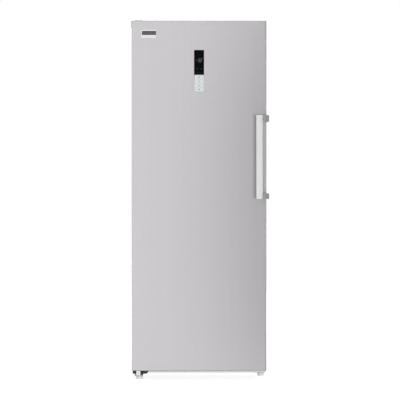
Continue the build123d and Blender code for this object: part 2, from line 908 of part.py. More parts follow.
def make_drip_tray():
    """The tray on the compressor, where its warmth dries the defrost water."""
    low = compressor_top
    x0 = compressor_x - drip_left
    x1 = compressor_x + drip_right
    y0 = compressor_y - drip_front
    y1 = compressor_y + drip_back
    w = drip_wall
    high = low + drip_height
    tray = plan_block(x0, x1, y0, y1, low, high, drip_corner)
    return tray - plan_block(x0 + w, x1 - w, y0 + w, y1 - w, low + w, high + cut_past, drip_corner - w)


def make_filter_drier():
    """The copper filter drier with its drawn-in ends."""
    low = drier_top - drier_length
    barrel = upright(drier_x, drier_y, low + drier_cone, drier_top - drier_cone, drier_radius)
    top = Pos(drier_x, drier_y, drier_top - drier_cone / 2) * Cone(drier_radius, drier_neck, drier_cone)
    bottom = Pos(drier_x, drier_y, low + drier_cone / 2) * Cone(drier_neck, drier_radius, drier_cone)
    return barrel + top + bottom


def make_refrigerant_pipes():
    """The pipes in the machine room: discharge, liquid, capillary and suction."""
    turn_y = rear_rail_back + pipe_rail_gap
    discharge = tube(
        [
            (discharge_x, discharge_face + port_reach, port_height), (discharge_x, turn_y, port_height),
            (riser_x, turn_y, port_height), (riser_x, condenser_y, port_height + pipe_rise),
            (riser_x, condenser_y, condenser_end),
        ],
        pipe_bend, pipe_radius,
    )
    liquid = tube(
        [
            (-riser_x, condenser_y, condenser_end), (-riser_x, condenser_y, condenser_end - pipe_rise),
            (drier_x, drier_y, drier_top + drier_stub), (drier_x, drier_y, drier_top),
        ],
        pipe_bend, pipe_radius,
    )
    capillary = tube(
        [
            (drier_x, drier_y, drier_top - drier_length), (drier_x, drier_y, capillary_level),
            (pipe_wall_x, evaporator_front, capillary_level),
            (pipe_wall_x, evaporator_front, evaporator_bottom),
            (pipe_inlet_x, evaporator_front, evaporator_bottom),
        ],
        capillary_bend, capillary_radius,
    )
    port_x = compressor_x - compressor_half_width - port_reach
    drop_x = compressor_x - compressor_half_width - suction_aside
    suction = tube(
        [
            (pipe_inlet_x, evaporator_rear, evaporator_bottom),
            (pipe_wall_x, evaporator_rear, evaporator_bottom),
            (pipe_wall_x, evaporator_rear, suction_level), (drop_x, compressor_y, suction_level),
            (drop_x, compressor_y, port_height), (port_x, compressor_y, port_height),
        ],
        [suction_inlet_bend, suction_bend, suction_bend, suction_bend], suction_radius,
    )
    return [discharge, liquid, capillary, suction]


def make_condenser_coil():
    """The condenser tube: it rises on the right, then winds down to the left."""
    levels = condenser_levels[::-1]
    y = condenser_y
    points = [(riser_x, y, condenser_end), (riser_x, y, levels[0])]
    side = -1
    for i, level in enumerate(levels):
        if i:
            points.append((-side * condenser_half_width, y, level))
        points.append((side * condenser_half_width, y, level))
        side = -side
    points[-1] = (-riser_x, y, levels[-1])
    points.append((-riser_x, y, condenser_end))
    return tube(points, condenser_bend, pipe_radius)


def make_condenser_wires():
    """The upright wires that are welded to both sides of the condenser tube."""
    low = condenser_bottom - wire_margin
    high = condenser_levels[-1] + wire_margin
    offset = pipe_radius + wire_radius + pin_gap
    wires = []
    for i in range(wire_count):
        x = i * wire_step - wire_half_spread
        for side in (-1, 1):
            wires.append(upright(x, condenser_y + side * offset, low, high, wire_radius))
    return wires


def make_condenser_clips():
    """The clips that hold the condenser off the back panel."""
    clips = []
    for level in (condenser_levels[clip_passes_in], condenser_levels[-1 - clip_passes_in]):
        for side in (-1, 1):
            x = side * (wire_half_spread - clip_wires_in * wire_step)
            clip = block(
                x - clip_width / 2, x + clip_width / 2, back_face, condenser_y + pipe_radius + clip_lip,
                level - clip_height / 2, level + clip_height / 2,
            )
            start = (x - clip_width, condenser_y, level)
            clips.append(clip - rod(start, (1, 0, 0), pipe_radius + pin_gap, 2 * clip_width))
    return clips


def make_back_panel():
    """The flat steel back, screwed over the wrap's back lips."""
    half = half_width - shell_corner
    return block(-half, half, cabinet_depth, back_face, room_top, cabinet_top - shell_corner)


def make_mains_gland():
    """The inlet of the mains lead, a flanged bush on the back panel."""
    start = (gland_x, back_face, gland_height)
    gland = rod(start, (0, 1, 0), gland_flange, gland_flange_thickness)
    gland += rod(start, (0, 1, 0), gland_radius, gland_length)
    return gland - rod(start, (0, 1, 0), gland_bore, gland_length)


def make_roller(side):
    """One rear roller, bored for its axle."""
    x = side * roller_x - roller_width / 2
    roller = rod((x, roller_y, roller_radius), (1, 0, 0), roller_radius, roller_width)
    roller = fillet(roller.edges().filter_by(GeomType.CIRCLE), roller_round)
    return roller - rod((x, roller_y, roller_radius), (1, 0, 0), axle_radius + pin_gap, roller_width)


def make_leg_brackets():
    """The forks and axles of the rear rollers, and the nut bracket of the right foot."""
    pieces = []
    top = rear_rail_top - base_sheet
    half = fork_width / 2
    low = roller_radius - fork_below_axle
    for side in (-1, 1):
        x = side * roller_x
        inner = roller_width / 2 + fork_gap
        outer = inner + fork_sheet
        fork = block(x - outer, x + outer, roller_y - half, roller_y + half, top - fork_sheet, top)
        for ear in (-1, 1):
            ear_x = sorted((x + ear * inner, x + ear * outer))
            fork += block(ear_x[0], ear_x[1], roller_y - half, roller_y + half, low, top)
        end = outer + cut_past
        hole = rod((x - end, roller_y, roller_radius), (1, 0, 0), axle_radius + pin_gap, 2 * end)
        axle = rod((x - end, roller_y, roller_radius), (1, 0, 0), axle_radius, 2 * end)
        pieces += [fork - hole, axle]
    x0 = right_foot_x - foot_bracket_width / 2
    x1 = half_width - shell_sheet - sheet_gap
    y0 = right_foot_y - foot_bracket_width / 2
    y1 = right_foot_y + foot_bracket_width / 2
    z0 = cabinet_bottom - foot_bracket_thickness
    seat = block(x0, x1, y0, y1, z0, cabinet_bottom)
    seat -= upright(right_foot_x, right_foot_y, z0, cabinet_bottom, stem_radius + pin_gap)
    return pieces + [seat]


def make_foot(x, y, stem_top):
    """One levelling foot: its disc, the nut formed on it and its threaded stem."""
    disc = upright(x, y, 0, foot_disc, foot_radius)
    disc = fillet(disc.edges().filter_by(GeomType.CIRCLE), foot_edge)
    nut = Pos(x, y, foot_disc) * extrude(RegularPolygon(nut_radius, 6), nut_height)
    return disc + nut + upright(x, y, foot_disc, stem_top, stem_radius)


def make_upper_hinge_bracket():
    """The upper hinge: a plate on the cabinet's top with an arm, and the pin riveted in it."""
    left = -half_width + upper_plate_left
    top = cabinet_top + hinge_plate
    plate = plan_block(
        left, left + upper_plate_width, upper_plate_front, upper_plate_back, cabinet_top, top,
        upper_plate_corner,
    )
    half = upper_arm_width / 2
    arm_front = hinge_y - upper_arm_reach
    arm = block(hinge_x - half, hinge_x + half, arm_front, upper_arm_back, cabinet_top, top)
    plate += fillet(arm.edges().filter_by(Axis.Z).group_by(Axis.Y)[0], upper_arm_corner)
    plate -= upright(hinge_x, hinge_y, cabinet_top, top, upper_pin_radius + pin_gap)
    pin = upright(hinge_x, hinge_y, door_top - upper_pin_depth, top, upper_pin_radius)
    return [plate - upper_holes, pin]


def make_upper_hinge_cover():
    """The plastic cap over the upper hinge."""
    left = -half_width + upper_plate_left - hinge_cover_margin / 2
    right = left + upper_plate_width + hinge_cover_margin
    back = upper_plate_back + hinge_cover_margin
    w = hinge_cover_wall
    high = cabinet_top + hinge_cover_height
    front = hinge_cover_front
    cap = plan_block(left, right, front, back, cabinet_top, high, hinge_cover_corner)
    cap = fillet(cap.edges().group_by(Axis.Z)[-1], hinge_cover_edge)
    cap -= block(left + w, right - w, front + w, back - w, cabinet_top, high - w)
    arm = upper_arm_width / 2 + soft_gap
    arm_top = cabinet_top + hinge_plate + soft_gap
    return cap - block(hinge_x - arm, hinge_x + arm, 0, front + 2 * w, cabinet_top, arm_top)


def make_lower_hinge_bracket():
    """The lower hinge: a flange on the cabinet's front, a tab that carries the pin and the left foot."""
    left = -half_width
    right = left + lower_flange_width
    outline = Polyline(
        (left, lower_flange_bottom), (right - lower_flange_cut, lower_flange_bottom),
        (right, lower_flange_bottom + lower_flange_cut), (right, lower_flange_top), (left, lower_flange_top),
        close=True,
    )
    flange = extrude(make_face(Plane.XZ * outline), hinge_plate)
    tab_left = hinge_x - lower_tab_left
    tab_right = tab_left + lower_tab_width
    tab = block(tab_left, tab_right, hinge_y - lower_tab_reach, 0, lower_flange_bottom, lower_plate_top)
    tab = fillet(tab.edges().filter_by(Axis.Z).group_by(Axis.Y)[0], lower_tab_corner)
    lip = block(
        tab_left, tab_left + hinge_plate, hinge_y - lower_tab_reach / 2, -hinge_plate, lower_flange_bottom,
        lower_plate_top + lower_lip,
    )
    plate = flange + tab + lip - lower_holes
    plate -= upright(hinge_x, hinge_y, lower_flange_bottom, lower_plate_top, lower_pin_radius + pin_gap)
    plate -= upright(left_foot_x, left_foot_y, lower_flange_bottom, lower_plate_top, stem_radius + pin_gap)
    pin = upright(hinge_x, hinge_y, lower_flange_bottom, door_bottom + lower_pin_depth, lower_pin_radius)
    return [plate, pin]


def make_closing_cam():
    """The white plastic block round the lower pin, on which the door turns."""
    top = door_bottom - soft_gap
    cam = plan_block(
        hinge_x - cam_left, hinge_x + cam_right, hinge_y - cam_front, hinge_y + cam_back,
        lower_plate_top, top, cam_corner,
    )
    return cam - upright(hinge_x, hinge_y, lower_plate_top, top, lower_pin_radius + pin_gap)


# ---------------------------------------------------------------- drawers
def make_drawer(level, height, depth):
    """A one-piece drawer: a tub with rounded corners, a front panel and the grip along its top."""
    half = drawer_width / 2
    low = level + soft_gap
    rim = low + height - drawer_panel_rise
    back = drawer_front + depth
    w = drawer_wall
    tub = block(-half, half, drawer_front, back, low, rim)
    tub = fillet(tub.edges().filter_by(Axis.Z), drawer_corner)
    tub = fillet(tub.edges().group_by(Axis.Z)[0], drawer_foot_radius)
    hollow = block(-half + w, half - w, drawer_front + drawer_panel, back - w, low + w, rim + cut_past)
    hollow = fillet(hollow.edges().filter_by(Axis.Z), drawer_corner - w)
    hollow = fillet(hollow.edges().group_by(Axis.Z)[0], drawer_foot_radius - w)
    tub -= hollow
    top = low + height
    panel = front_block(-half, half, drawer_front, drawer_front + drawer_panel, low, top, drawer_foot_radius)
    grip_half = grip_width / 2
    grip_top = top - grip_drop
    grip_low = grip_top - grip_height
    grip = block(-grip_half, grip_half, drawer_front - grip_reach, drawer_front, grip_low, grip_top)
    grip = fillet(grip.edges().filter_by(Axis.X).group_by(Axis.Y)[0].group_by(Axis.Z)[-1], grip_round)
    g = grip_wall
    scoop = block(
        -grip_half + g, grip_half - g, drawer_front - grip_reach + g, drawer_front,
        grip_low, grip_top - g,
    )
    scoop = fillet(scoop.edges().filter_by(Axis.X).group_by(Axis.Y)[0].group_by(Axis.Z)[-1], grip_round - g)
    return tub + panel + (grip - scoop)


# ---------------------------------------------------------------- door
def door_plan(inset, z0, z1):
    """The door's outline seen from above, drawn in by an inset, between two levels."""
    half = door_half - inset
    return plan_block(-half, half, door_front + inset, door_back - inset, z0, z1, door_corner - inset)


def handle_screw_tips():
    """Where the heads of the handle's four screws sit, on the door's side."""
    right = door_half + bracket_arm
    levels = [handle_bottom + bracket_height / 2, handle_top - bracket_height / 2]
    return [(right - screw_head_height, door_front + y, z) for z in levels for y in handle_screw_setbacks]


handle_holes = [screw_hole(tip, (-1, 0, 0), 0) for tip in handle_screw_tips()]


def panel_opening(gap, depth):
    """The pocket of the display and keys in the door's front."""
    half = panel_width / 2 + gap
    return block(-half, half, door_front - cut_past, door_front + depth, panel_bottom - gap, panel_top + gap)


def make_door_skin():
    """The brushed steel front, bent round both sides, with narrow back lips."""
    low = door_bottom + cap_lip
    high = door_top - cap_lip
    skin = door_plan(0, low, high) - door_plan(door_sheet, low, high)
    window = door_half - door_back_lip
    skin -= block(-window, window, door_back - door_sheet - cut_past, door_back, low, high)
    return skin - panel_opening(panel_gap, door_sheet + cut_past) - handle_holes


def make_door_cap(top):
    """A moulded end cap: a lip over the skin, a rim inside it and the seat of the hinge bush."""
    inset = door_sheet + foam_gap
    rim_back = door_liner_back - door_liner_wall - foam_gap
    if top:
        lip_z = (door_top - cap_lip, door_top)
        rim_z = (door_top - cap_height + foam_gap, door_top - cap_lip)
    else:
        lip_z = (door_bottom, door_bottom + cap_lip)
        rim_z = (door_bottom + cap_lip, door_bottom + cap_height - foam_gap)
    lip = door_plan(0, *lip_z)
    rim = plan_block(
        -door_half + inset, door_half - inset, door_front + inset, rim_back, rim_z[0], rim_z[1],
        door_corner - inset,
    )
    wall = inset + cap_wall
    rim -= plan_block(
        -door_half + wall, door_half - wall, door_front + wall, rim_back - cap_wall, rim_z[0], rim_z[1],
        door_corner - inset - cap_wall,
    )
    boss = upright(hinge_x, hinge_y, rim_z[0], rim_z[1], bush_radius + bush_wall)
    cap = lip + rim + boss
    if top:
        tab_front = (door_front + door_back - cap_tab_length) / 2
        cap += block(
            -door_half - cap_tab_reach, -door_half, tab_front, tab_front + cap_tab_length,
            door_top - cap_height, door_top,
        )
    low = lip_z[0] - cap_height
    high = lip_z[1] + cap_height
    return cap - upright(hinge_x, hinge_y, low, high, bush_radius + pin_gap)


def make_door_bushes():
    """The plain bushes of the hinge pins, in the door's two caps."""
    length = cap_height - bush_end_gap
    upper = upright(hinge_x, hinge_y, door_top - length, door_top, bush_radius)
    upper += upright(hinge_x, hinge_y, door_top, door_top + bush_flange, bush_flange_radius)
    upper -= upright(hinge_x, hinge_y, door_top - length, door_top + bush_flange, upper_pin_radius + pin_gap)
    lower = upright(hinge_x, hinge_y, door_bottom, door_bottom + length, bush_radius)
    lower -= upright(hinge_x, hinge_y, door_bottom, door_bottom + length, lower_pin_radius + pin_gap)
    return [upper, lower]


def plateau(inset):
    """The raised middle of the door liner, drawn in by an inset."""
    half = cavity_half - plateau_margin - inset
    low = cavity_floor + plateau_margin + inset
    high = cavity_top - plateau_margin - inset
    face = door_liner_back + plateau_reach - inset
    front = door_liner_back - door_liner_wall - cut_past
    raised = front_block(-half, half, front, face, low, high, plateau_corner - inset)
    return fillet(raised.edges().group_by(Axis.Y)[-1], plateau_edge - inset)


def make_door_liner():
    """The vacuum formed inner face of the door, with its raised middle."""
    side = door_half - door_corner
    low = door_bottom + cap_lip + foam_gap
    high = door_top - cap_lip - foam_gap
    front = door_liner_back - door_liner_wall
    plate = block(-side, side, front, door_liner_back, low, high)
    keep = block(-side, side, front, cavity_back, low, high)
    return (plate + plateau(0) & keep) - plateau(door_liner_wall)


def make_door_foam():
    """The insulation inside the door, with the pocket of the display."""
    inset = door_sheet + foam_gap
    low = door_bottom + cap_height
    high = door_top - cap_height
    back = door_liner_back - door_liner_wall - foam_gap
    body = plan_block(
        -door_half + inset, door_half - inset, door_front + inset, back, low, high, door_corner - inset
    )
    raised = plateau(door_liner_wall + foam_gap)
    return body + raised - panel_opening(2 * panel_gap, housing_depth + panel_gap) - handle_holes


def make_gasket():
    """The magnetic door seal, as the plain ring that it fills."""
    out = gasket_width
    ring = front_block(
        -gasket_inner_x - out, gasket_inner_x + out, door_liner_back, -soft_gap,
        gasket_inner_bottom - out, gasket_inner_top + out, gasket_corner,
    )
    return ring - block(
        -gasket_inner_x, gasket_inner_x, door_liner_back, 0, gasket_inner_bottom, gasket_inner_top
    )


def key_middle(i):
    """The height of a key's middle, counted from the top key."""
    return key_area_top - housing_wall - (i + 0.5) * key_pitch


def make_panel_housing():
    """The moulded housing that holds the display window, the keys and the board."""
    half = panel_width / 2
    w = housing_wall
    back = door_front + housing_depth
    seat = door_front - display_proud + display_thickness
    shell = block(-half, half, seat, back, panel_bottom, panel_top)
    shell += block(-half, half, door_front - housing_proud, back, panel_bottom, key_area_top - foam_gap)
    front = door_front - cut_past
    shell -= block(-half + w, half - w, front, back - w, panel_bottom + w, key_area_top - w)
    shell -= block(-half + w, half - w, front, back - w, key_area_top, panel_top - w)
    inset = board_post_inset
    for z in (panel_bottom + inset, key_area_top + inset, panel_top - inset):
        for side in (-1, 1):
            shell += rod((side * (half - inset), back - w, z), (0, -1, 0), w, board_post)
    return shell - block(-half, half, board_front - board_gap, back - w, key_area_top - w, key_area_top)


def make_display_window():
    """The dark glass over the display."""
    half = panel_width / 2
    front = door_front - display_proud
    pane = block(-half, half, front, front + display_thickness, key_area_top, panel_top)
    return fillet(pane.edges().group_by(Axis.Y)[0], display_round)


def make_display_board():
    """The circuit board with the display module and the keys' switches."""
    half = panel_width / 2 - housing_wall - 2 * panel_gap
    board = block(
        -half, half, board_front, board_front + board_thickness, panel_bottom + 2 * housing_wall,
        panel_top - 2 * housing_wall,
    )
    module_half = display_module_width / 2
    seat = door_front - display_proud + display_thickness
    board += block(
        -module_half, module_half, seat + display_module_gap, board_front, key_area_top + display_module_low,
        panel_top - display_module_high,
    )
    s = switch_size / 2
    for i in range(key_count):
        z = key_middle(i)
        board += block(-s, s, board_front - switch_height, board_front, z - s, z + s)
    return board


def make_key(i):
    """One push key with its plunger."""
    half = panel_width / 2 - housing_wall - key_gap
    z = key_middle(i)
    rise = key_pitch / 2 - key_gap
    front = door_front - key_proud
    cap = block(-half, half, front, front + key_thickness, z - rise, z + rise)
    cap = fillet(cap.edges().group_by(Axis.Y)[0], key_round)
    middle = front + key_thickness / 2
    end = board_front - switch_height - key_travel - panel_gap
    return cap + rod((0, middle, z), (0, 1, 0), plunger_radius, end - middle)


def make_badge():
    """The plain badge plate, without lettering."""
    plate = front_block(
        badge_left, badge_left + badge_width, door_front - badge_thickness, door_front,
        badge_top - badge_height, badge_top, badge_corner,
    )
    return fillet(plate.edges().group_by(Axis.Y)[0], badge_round)


def make_handle_bar():
    """The upright handle bar."""
    bar = block(handle_left, handle_right, handle_front, handle_back, handle_bottom, handle_top)
    bar = fillet(bar.edges().filter_by(Axis.Z).group_by(Axis.Y)[0], handle_edge)
    return fillet(bar.edges().filter_by(Axis.Z).group_by(Axis.Y)[-1], handle_back_edge)


def make_handle_brackets():
    """The two end brackets: each grips the bar from behind and wraps round the door's side."""
    right = door_half + bracket_arm
    front = handle_front + bracket_set_back
    inner = front + bracket_front
    tail = door_back - bracket_tail / 2
    tongue_back = handle_back + bracket_tongue_thickness
    outline = [
        (handle_right - bracket_tongue, handle_back), (handle_right, handle_back), (handle_right, front),
        (right, front), (right, tail), (door_half, tail), (door_half, tongue_back),
        (handle_right - bracket_tongue, tongue_back),
    ]
    face = make_face(Polyline(*outline, close=True))
    rounds = [
        ((right, front), bracket_outer_radius), ((door_half, tongue_back), bracket_inner_radius),
        ((right, tail), bracket_arm / 2),
    ]
    for corner, radius in rounds:
        face = fillet(face.vertices().sort_by_distance((*corner, 0))[0], radius)
    bracket = extrude(face, bracket_height)
    heads = [
        rod((right, tip[1], tip[2]), (-1, 0, 0), screw_head_radius + screw_hole_gap, screw_head_height)
        for tip in handle_screw_tips()
    ]
    levels = (handle_bottom, handle_top - bracket_height)
    return [Pos(0, 0, level) * bracket - handle_holes - heads for level in levels]


# ---------------------------------------------------------------- assembly
nodes["cabinet_shell"] = make_shell()
nodes["back_panel"] = make_back_panel()
nodes["machine_room_panel"] = make_machine_room_panel()
nodes["cabinet_foam"] = make_cabinet_foam()
nodes["inner_liner"] = make_liner()
nodes["glass_shelves"] = make_shelves()
nodes["shelf_trims"] = make_shelf_trims()
nodes["evaporator_cover"] = make_evaporator_cover()
nodes["evaporator"] = make_evaporator()
nodes["defrost_heater"] = make_heater()
nodes["drain_tray"] = make_drain_tray()
nodes["drain_pipe"] = make_drain_pipe()
nodes["fan_motor"] = make_fan_motor()
nodes["fan_blade"] = make_fan_blade()
nodes["lamp_cover"] = make_lamp_cover()
nodes["base_rails"] = make_base_rails()
nodes["compressor"] = make_compressor()
nodes["compressor_grommets"] = make_grommets()
nodes["relay_box"] = make_relay_box()
nodes["drip_tray"] = make_drip_tray()
nodes["filter_drier"] = make_filter_drier()
nodes["refrigerant_pipes"] = make_refrigerant_pipes()
nodes["condenser_coil"] = make_condenser_coil()
nodes["condenser_wires"] = make_condenser_wires()
nodes["condenser_clips"] = make_condenser_clips()
nodes["mains_gland"] = make_mains_gland()
nodes["roller_left"] = make_roller(-1)
nodes["roller_right"] = make_roller(1)
nodes["leg_brackets"] = make_leg_brackets()
nodes["foot_left"] = make_foot(left_foot_x, left_foot_y, left_stem_top)
nodes["foot_right"] = make_foot(right_foot_x, right_foot_y, right_stem_top)
nodes["upper_hinge_bracket"] = make_upper_hinge_bracket()
nodes["upper_hinge_cover"] = make_upper_hinge_cover()
nodes["lower_hinge_bracket"] = make_lower_hinge_bracket()
nodes["closing_cam"] = make_closing_cam()
nodes["cabinet_screws"] = [screw(tip, (0, 0, -1)) for tip in upper_screw_tips]
nodes["cabinet_screws"] += [screw(tip, (0, 1, 0)) for tip in lower_screw_tips]
nodes["drawer_1"] = make_drawer(cavity_floor, low_drawer_height, low_drawer_depth)
for number, shelf in enumerate(shelf_levels, 2):
    nodes[f"drawer_{number}"] = make_drawer(shelf + glass_thickness, drawer_height, drawer_depth)
nodes["door_skin"] = make_door_skin()
nodes["door_top_cap"] = make_door_cap(True)
nodes["door_bottom_cap"] = make_door_cap(False)
nodes["door_foam"] = make_door_foam()
nodes["door_liner"] = make_door_liner()
nodes["door_gasket"] = make_gasket()
nodes["door_bushes"] = make_door_bushes()
nodes["panel_housing"] = make_panel_housing()
nodes["display_window"] = make_display_window()
nodes["display_board"] = make_display_board()
for number in range(key_count):
    nodes[f"key_{number + 1}"] = make_key(number)
nodes["badge"] = make_badge()
nodes["handle_bar"] = make_handle_bar()
nodes["handle_brackets"] = make_handle_brackets()
nodes["handle_screws"] = [screw(tip, (-1, 0, 0)) for tip in handle_screw_tips()]

# The origin is the middle of the whole freezer's footprint, on the floor.
left_end = -door_half - cap_tab_reach
right_end = door_half + bracket_arm
front_end = handle_front
back_end = condenser_y + pipe_radius + max(clip_lip, 2 * wire_radius + pin_gap)
origin = Pos(-(left_end + right_end) / 2, -(front_end + back_end) / 2, 0)

for name, shape in nodes.items():
    solids = shape if isinstance(shape, list) else [shape]
    placed = [origin * s for piece in solids for s in piece.solids()]
    export_step(Compound(children=placed) if len(placed) > 1 else placed[0], f"parts/{name}.step")
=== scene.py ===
import math
import bmesh
import bpy
from mathutils import Matrix, Vector


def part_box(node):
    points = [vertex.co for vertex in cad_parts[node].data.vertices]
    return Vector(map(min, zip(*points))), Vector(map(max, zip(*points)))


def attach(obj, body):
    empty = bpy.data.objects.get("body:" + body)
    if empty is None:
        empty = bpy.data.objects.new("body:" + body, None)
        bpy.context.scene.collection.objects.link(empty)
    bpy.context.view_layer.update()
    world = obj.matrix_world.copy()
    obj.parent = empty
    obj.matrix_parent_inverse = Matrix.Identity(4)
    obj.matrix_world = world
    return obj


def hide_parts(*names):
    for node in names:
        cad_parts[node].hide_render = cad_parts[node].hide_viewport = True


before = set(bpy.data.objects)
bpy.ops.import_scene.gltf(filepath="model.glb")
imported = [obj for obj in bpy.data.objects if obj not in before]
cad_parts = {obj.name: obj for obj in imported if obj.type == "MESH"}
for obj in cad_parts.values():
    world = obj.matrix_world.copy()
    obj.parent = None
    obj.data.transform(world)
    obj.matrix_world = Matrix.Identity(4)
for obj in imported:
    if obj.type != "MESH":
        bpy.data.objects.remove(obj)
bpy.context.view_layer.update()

# ------------------------------------------------------------------ studio
# A white sweep in a plain photographer's studio. The camera stands square to the door, at half its
# height. The room is evenly lit, with a low soft lamp on the right, one overhead, and weak fills.
camera_reach = 4.2
camera_height = 0.8015
camera_aside = 0.0006
lens_mm = 85.05
sensor_mm = 36
door_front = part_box("door_skin")[0].y
camera_data = bpy.data.cameras.new("camera")
camera_data.lens = lens_mm
camera_data.sensor_width = sensor_mm
camera = bpy.data.objects.new("camera", camera_data)
camera.location = (camera_aside, door_front - camera_reach, camera_height)
camera.rotation_euler = (math.pi / 2, 0, 0)
bpy.context.scene.collection.objects.link(camera)
bpy.context.scene.camera = camera
bpy.context.scene.view_settings.view_transform = "Standard"


def feed(tree, node, inputs):
    """Sets a node's inputs. One given another node's output is linked to it."""
    for socket, value in inputs.items():
        if isinstance(value, bpy.types.NodeSocket):
            tree.links.new(value, node.inputs[socket])
        else:
            node.inputs[socket].default_value = value


def add(tree, kind, inputs=None, **settings):
    """A new node of that kind, with its settings and its inputs."""
    node = tree.nodes.new("ShaderNode" + kind)
    for name, value in settings.items():
        setattr(node, name, value)
    feed(tree, node, inputs or {})
    return node


# What a glossy face mirrors, as (X of the mirrored direction, strength): the white sweep on the left,
# a grey stretch a little right of the middle, and a paler wall beyond it. Above and below, the sweep
# reaches further to the right, by the fourth power of the direction's Z.
mirrored_room = [
    (-1.0, 1.0), (-0.3, 1.09), (0.0, 1.05), (0.08, 0.04), (0.40, 0.16), (0.75, 0.44), (1.0, 0.85),
]
sweep_reach = 24.5
brightest_mirrored = 1.5
room_light = 0.36
plain_white = (1, 1, 1, 1)
world = bpy.data.worlds.new("studio")
bpy.context.scene.world = world
world.use_nodes = True
tree = world.node_tree
room = tree.nodes["Background"]
feed(tree, room, {"Color": plain_white, "Strength": room_light})
direction = add(tree, "SeparateXYZ", {0: add(tree, "TexCoord").outputs["Generated"]})
steepness = direction.outputs["Z"]
for _ in range(2):
    steepness = add(tree, "Math", {0: steepness, 1: steepness}, operation="MULTIPLY").outputs[0]
moved = add(
    tree, "Math", {0: steepness, 1: -sweep_reach, 2: direction.outputs["X"]}, operation="MULTIPLY_ADD"
)
across = add(tree, "MapRange", {"Value": moved.outputs[0], "From Min": -1.0})
fade = add(tree, "FloatCurve", {"Value": across.outputs[0]})
fade.mapping.clip_max_y = brightest_mirrored
curve = fade.mapping.curves[0]
points_at_first = len(curve.points)
for i, (x, strength) in enumerate(mirrored_room):
    if i < points_at_first:
        curve.points[i].location = ((x + 1) / 2, strength)
    else:
        curve.points.new((x + 1) / 2, strength)
for point in curve.points:
    point.handle_type = "VECTOR"
fade.mapping.update()
mirrored = add(tree, "Background", {"Color": plain_white, "Strength": fade.outputs[0]})
backdrop = add(tree, "Background", {"Color": plain_white, "Strength": 1.0})
ray = add(tree, "LightPath")
seen = add(tree, "Math", {
    0: ray.outputs["Is Camera Ray"], 1: ray.outputs["Is Transmission Ray"],
}, operation="MAXIMUM")
lit_or_mirrored = add(
    tree, "MixShader", {0: ray.outputs["Is Glossy Ray"], 1: room.outputs[0], 2: mirrored.outputs[0]}
)
all_rays = add(tree, "MixShader", {0: seen.outputs[0], 1: lit_or_mirrored.outputs[0], 2: backdrop.outputs[0]})
feed(tree, tree.nodes["World Output"], {"Surface": all_rays.outputs[0]})


def lamp(name, place, aim, side, watts):
    """A square soft lamp that shines on a point and isn't mirrored in gloss."""
    data = bpy.data.lights.new(name, "AREA")
    data.shape = "SQUARE"
    data.size = side
    data.energy = watts
    thing = bpy.data.objects.new(name, data)
    thing.location = place
    thing.rotation_euler = (Vector(aim) - Vector(place)).to_track_quat("-Z", "Y").to_euler()
    thing.visible_glossy = False
    bpy.context.scene.collection.objects.link(thing)


lamp("low_right_softbox", (1.17, -4.5, 0.52), aim=(0, -0.2, 0.80), side=0.5, watts=124)
lamp("left_fill", (-2.6, -2.8, 1.5), aim=(0, 0, 0.8), side=2.0, watts=9)
lamp("overhead_softbox", (0, 0.5, 4.2), aim=(0, 0.3, 0.8), side=2.0, watts=34)
lamp("back_fill", (1.6, 3.2, 2.2), aim=(0, 0, 0.8), side=1.6, watts=22)


def start_material(name):
    """A new material, its node tree and its shader."""
    material = bpy.data.materials.new(name)
    material.use_nodes = True
    return material, material.node_tree, material.node_tree.nodes["Principled BSDF"]


# The floor is lifted to white for the camera alone, and keeps the shadow.
floor_width = 60
floor_grey = (0.80, 0.80, 0.80, 1)
floor_lift = 0.74
bpy.ops.mesh.primitive_plane_add(size=floor_width)
floor = bpy.context.object
floor.name = "floor"
floor.visible_glossy = False
floor_paint, tree, shader = start_material("white_sweep")
ray = add(tree, "LightPath")
lift = add(tree, "Math", {0: ray.outputs["Is Camera Ray"], 1: floor_lift}, operation="MULTIPLY")
feed(tree, shader, {
    "Base Color": floor_grey, "Roughness": 0.9, "Specular IOR Level": 0.0, "Emission Color": plain_white,
    "Emission Strength": lift.outputs[0],
})
floor.data.materials.append(floor_paint)

# ------------------------------------------------------------------ outer wrap
# The cabinet's two sides and top are one folded sheet of painted steel in silver grey. The paint is
# sprayed, so it has a very fine orange peel, and a painted highlight runs along the folded edges.
mm = 0.001


def node_group(name, numbers_in, sockets_out):
    """A shader group that takes named numbers, and puts out named sockets of the kinds given."""
    group = bpy.data.node_groups.new(name, "ShaderNodeTree")
    for label, value in numbers_in.items():
        socket = group.interface.new_socket(label, in_out="INPUT", socket_type="NodeSocketFloat")
        socket.default_value = value
    for label, kind in sockets_out.items():
        group.interface.new_socket(label, in_out="OUTPUT", socket_type="NodeSocket" + kind)
    return group, group.nodes.new("NodeGroupInput"), group.nodes.new("NodeGroupOutput")


def times_in_metre(tree, size_mm):
    """How often a size in millimetres goes into a metre."""
    return add(tree, "Math", {0: 1000.0, 1: size_mm}, operation="DIVIDE").outputs[0]


# Fine grain: a small even texture for sprayed paint and mouldings, and a wide soft cloud.
grain_group, given, out = node_group(
    "fine_grain", {"Size mm": 1.0, "Cloud mm": 180.0}, {"Height": "Float", "Cloud": "Float"}
)
place = add(grain_group, "TexCoord").outputs["Object"]
for size_name, out_name, detail in (("Size mm", "Height", 3.0), ("Cloud mm", "Cloud", 4.0)):
    noise = add(grain_group, "TexNoise", {
        "Vector": place, "Scale": times_in_metre(grain_group, given.outputs[size_name]), "Detail": detail,
        "Roughness": 0.55,
    })
    feed(grain_group, out, {out_name: noise.outputs[0]})
